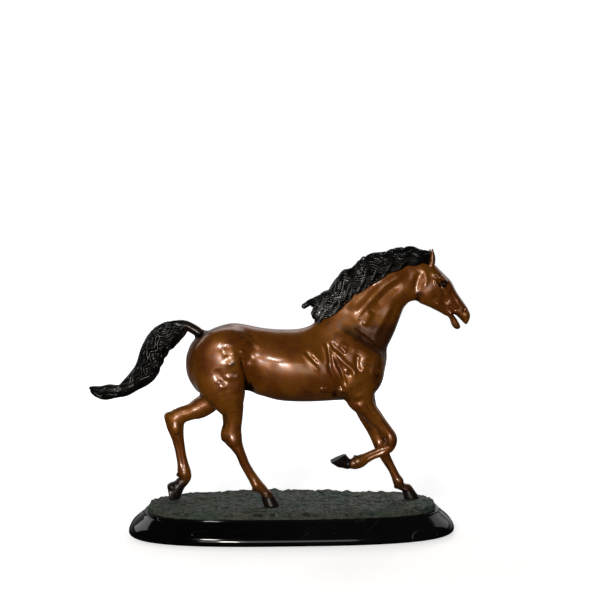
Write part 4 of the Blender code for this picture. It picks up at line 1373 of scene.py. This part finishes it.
def build():
    scale = 1.0
    brown = bronze("brown_bronze", (0.007, 0.0022, 0.0005), (0.012, 0.0075, 0.0055), 0.4, 0.2)
    black = bronze("dark_bronze", (0.001, 0.0008, 0.0007), (0.0025, 0.0021, 0.0019), 0.42, 0.32)
    green, marble, cloth, metal = turf(), stone(), felt(), steel()

    field, whole = torso_piece(0.75 * scale)
    piece = casting("torso_casting", field, brown, whole)
    mark(piece, "dark", np.zeros(len(piece.data.vertices)))
    stand_for(piece, "torso")

    field, neck = neck_piece(0.6 * scale)
    piece = casting("neck_and_head_casting", field, brown, neck)
    mark(piece, "dark", face_darkness(vertices(piece)))
    stand_for(piece, "neck_and_head")

    for name in LEGS:
        field, whole = leg_piece(name, 0.55 * scale)
        piece = casting(f"{name}_leg_casting", field, brown, whole)
        mark(piece, "dark", darkness(name, vertices(piece)))
        stand_for(piece, f"{name}_leg")

    piece = casting("mane_casting", mane_piece(0.5 * scale, neck), black)
    mark(piece, "dark", np.ones(len(piece.data.vertices)))
    stand_for(piece, "mane")

    field, whole = tail_piece(0.5 * scale)
    piece = casting("tail_casting", field, black, whole)
    at = vertices(piece)
    into_hair = smoothstep(at[:, 0] + 0.25 * (at[:, 2] - 270), -131, -138)
    mark(piece, "dark", np.maximum(into_hair, 0.94 * smoothstep(at[:, 0], -112, -119)))
    stand_for(piece, "tail")

    piece = casting("ground_casting", ground_piece(0.75 * scale), green, shift=np.zeros(3))
    mark(piece, "hollow", ground_hollows(vertices(piece) + SHIFT))
    stand_for(piece, "ground_plate")

    rings = [(z, *(MARBLE_BOX[1][:2] - inset)) for z, inset in STONE_PROFILE]
    piece = turned("marble_plinth", rings, 3, marble)
    for hole_x, hole_y, radius in HOLES:
        drill(piece, hole_x, hole_y, -2, STONE_TOP + 4, radius)
        drill(piece, hole_x, hole_y, -2, COUNTERBORE_TOP, COUNTERBORE_R)
    smooth_shade(piece, 35)
    stand_for(piece, "marble_base")

    rings = [(z, *(FELT_BOX[1][:2] - inset)) for z, inset in ((0, 0.8), (0.1, 0.1), (1.0, 0), (1.2, 0.6))]
    piece = turned("felt_pad", rings, 2, cloth)
    smooth_shade(piece, 50)
    stand_for(piece, "felt_sheet")

    for node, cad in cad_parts.items():
        if node.endswith(("_stud", "_nut")) or "washer" in node or "bolt" in node:
            cad.data.materials.clear()
            cad.data.materials.append(metal)


# ---------------------------------------------------------------- studio


def area_light(name, place, aim, size, power, colour=(1, 1, 1)):
    lamp = bpy.data.lights.new(name, "AREA")
    lamp.shape = "RECTANGLE"
    lamp.size, lamp.size_y = size
    lamp.energy = power
    lamp.color = colour
    made = add_object(name, lamp)
    made.location = place
    made.rotation_euler = (Vector(aim) - Vector(place)).to_track_quat("-Z", "Y").to_euler()


def studio():
    """A pale floor, soft lamps and a white surround, with the camera low in front of the horse."""
    floor_mesh = bpy.data.meshes.new("floor")
    half = 4.0
    square = [(-half, -half, 0), (half, -half, 0), (half, half, 0), (-half, half, 0)]
    floor_mesh.from_pydata(square, [], [(0, 1, 2, 3)])
    floor = add_object("floor", floor_mesh)
    f = Finish("pale_floor")
    seen = f.node("ShaderNodeLightPath").outputs["Is Camera Ray"]
    split = f.node("ShaderNodeSeparateXYZ")
    f.link(f.place(), split.inputs[0])
    away = f.node("ShaderNodeVectorMath", operation="LENGTH")
    f.link(f.place(), away.inputs[0])
    # Painted reflection and shade: rays other than the camera's see the floor darker in front of the statue
    # and white behind it, for the polished bronze to mirror.
    mirrored = f.ramp(split.outputs["Y"], 0.05, 0.6, 0.04, 0.5)
    f.set(Base_Color=f.mix(seen, mirrored, (0.8, 0.8, 0.8)), Roughness=0.9, Specular_IOR_Level=0.0)
    # Painted light: for camera rays the floor glows, less near the statue so its shadow still shows, and
    # fully white further off.
    glow = f.ramp(away.outputs["Value"], 0.3, 1.0, 0.62, 1.0)
    f.set(Emission_Color=(1.0, 1.0, 1.0), Emission_Strength=f.math("MULTIPLY", seen, glow))
    floor_mesh.materials.append(f.material)

    world = bpy.data.worlds.new("surround")
    bpy.context.scene.world = world
    world.use_nodes = True
    tree = world.node_tree
    tree.nodes.clear()
    out = tree.nodes.new("ShaderNodeOutputWorld")
    path = tree.nodes.new("ShaderNodeLightPath")
    mix = tree.nodes.new("ShaderNodeMixShader")
    soft = tree.nodes.new("ShaderNodeBackground")
    white = tree.nodes.new("ShaderNodeBackground")
    way = tree.nodes.new("ShaderNodeTexCoord")
    split = tree.nodes.new("ShaderNodeSeparateXYZ")
    tree.links.new(way.outputs["Generated"], split.inputs[0])
    # Dim in front and to the left, white behind and to the right
    shares = []
    for axis, low, high, start, end in (("Y", 0.3, 0.95, 0.0, 0.6), ("X", -0.3, 0.15, 0.3, 1.0)):
        level = tree.nodes.new("ShaderNodeMapRange")
        tree.links.new(split.outputs[axis], level.inputs["Value"])
        for key, value in (("From Min", low), ("From Max", high), ("To Min", start), ("To Max", end)):
            level.inputs[key].default_value = value
        shares.append(level.outputs[0])
    product_node = tree.nodes.new("ShaderNodeMath")
    product_node.operation = "MULTIPLY_ADD"
    tree.links.new(shares[0], product_node.inputs[0])
    tree.links.new(shares[1], product_node.inputs[1])
    product_node.inputs[2].default_value = 0.02
    tree.links.new(product_node.outputs[0], soft.inputs["Strength"])
    soft.inputs["Color"].default_value = (0.97, 0.98, 1, 1)
    white.inputs["Color"].default_value = (1, 1, 1, 1)
    tree.links.new(path.outputs["Is Camera Ray"], mix.inputs["Fac"])
    tree.links.new(soft.outputs[0], mix.inputs[1])
    tree.links.new(white.outputs[0], mix.inputs[2])
    tree.links.new(mix.outputs[0], out.inputs["Surface"])

    middle = (0, 0, 0.22)
    area_light("key", (-0.3, -1.45, 0.26), middle, (0.15, 0.15), 7.6, (1, 0.95, 0.87))
    area_light("window", (-0.1, -1.5, 0.28), middle, (1.0, 0.6), 5, (1, 0.93, 0.88))
    area_light("high_key", (-0.45, -1.2, 0.82), (0.08, 0, 0.25), (0.16, 0.16), 5, (1, 0.95, 0.9))
    area_light("top", (-0.1, 0.95, 1.5), middle, (1.2, 0.8), 4)
    area_light("top_left", (-1.35, 0.7, 1.0), middle, (0.9, 0.9), 5)
    area_light("top_right", (1.35, 0.7, 1.0), middle, (0.9, 0.9), 2.5)
    area_light("back", (0.6, 1.6, 1.15), middle, (0.5, 0.4), 5)

    camera = bpy.data.cameras.new("camera")
    camera.sensor_width = 36
    camera.lens = 59.2
    made = add_object("camera", camera)
    away, turn = 1.25, math.radians(2)
    made.location = (-away * math.sin(turn), -away * math.cos(turn), 0.3635)
    made.rotation_euler = (math.radians(90 - 3.06), 0, -turn - math.radians(0.464))
    bpy.context.scene.camera = made
    bpy.context.scene.view_settings.view_transform = "Standard"


build()
studio()
bpy.context.view_layer.update()
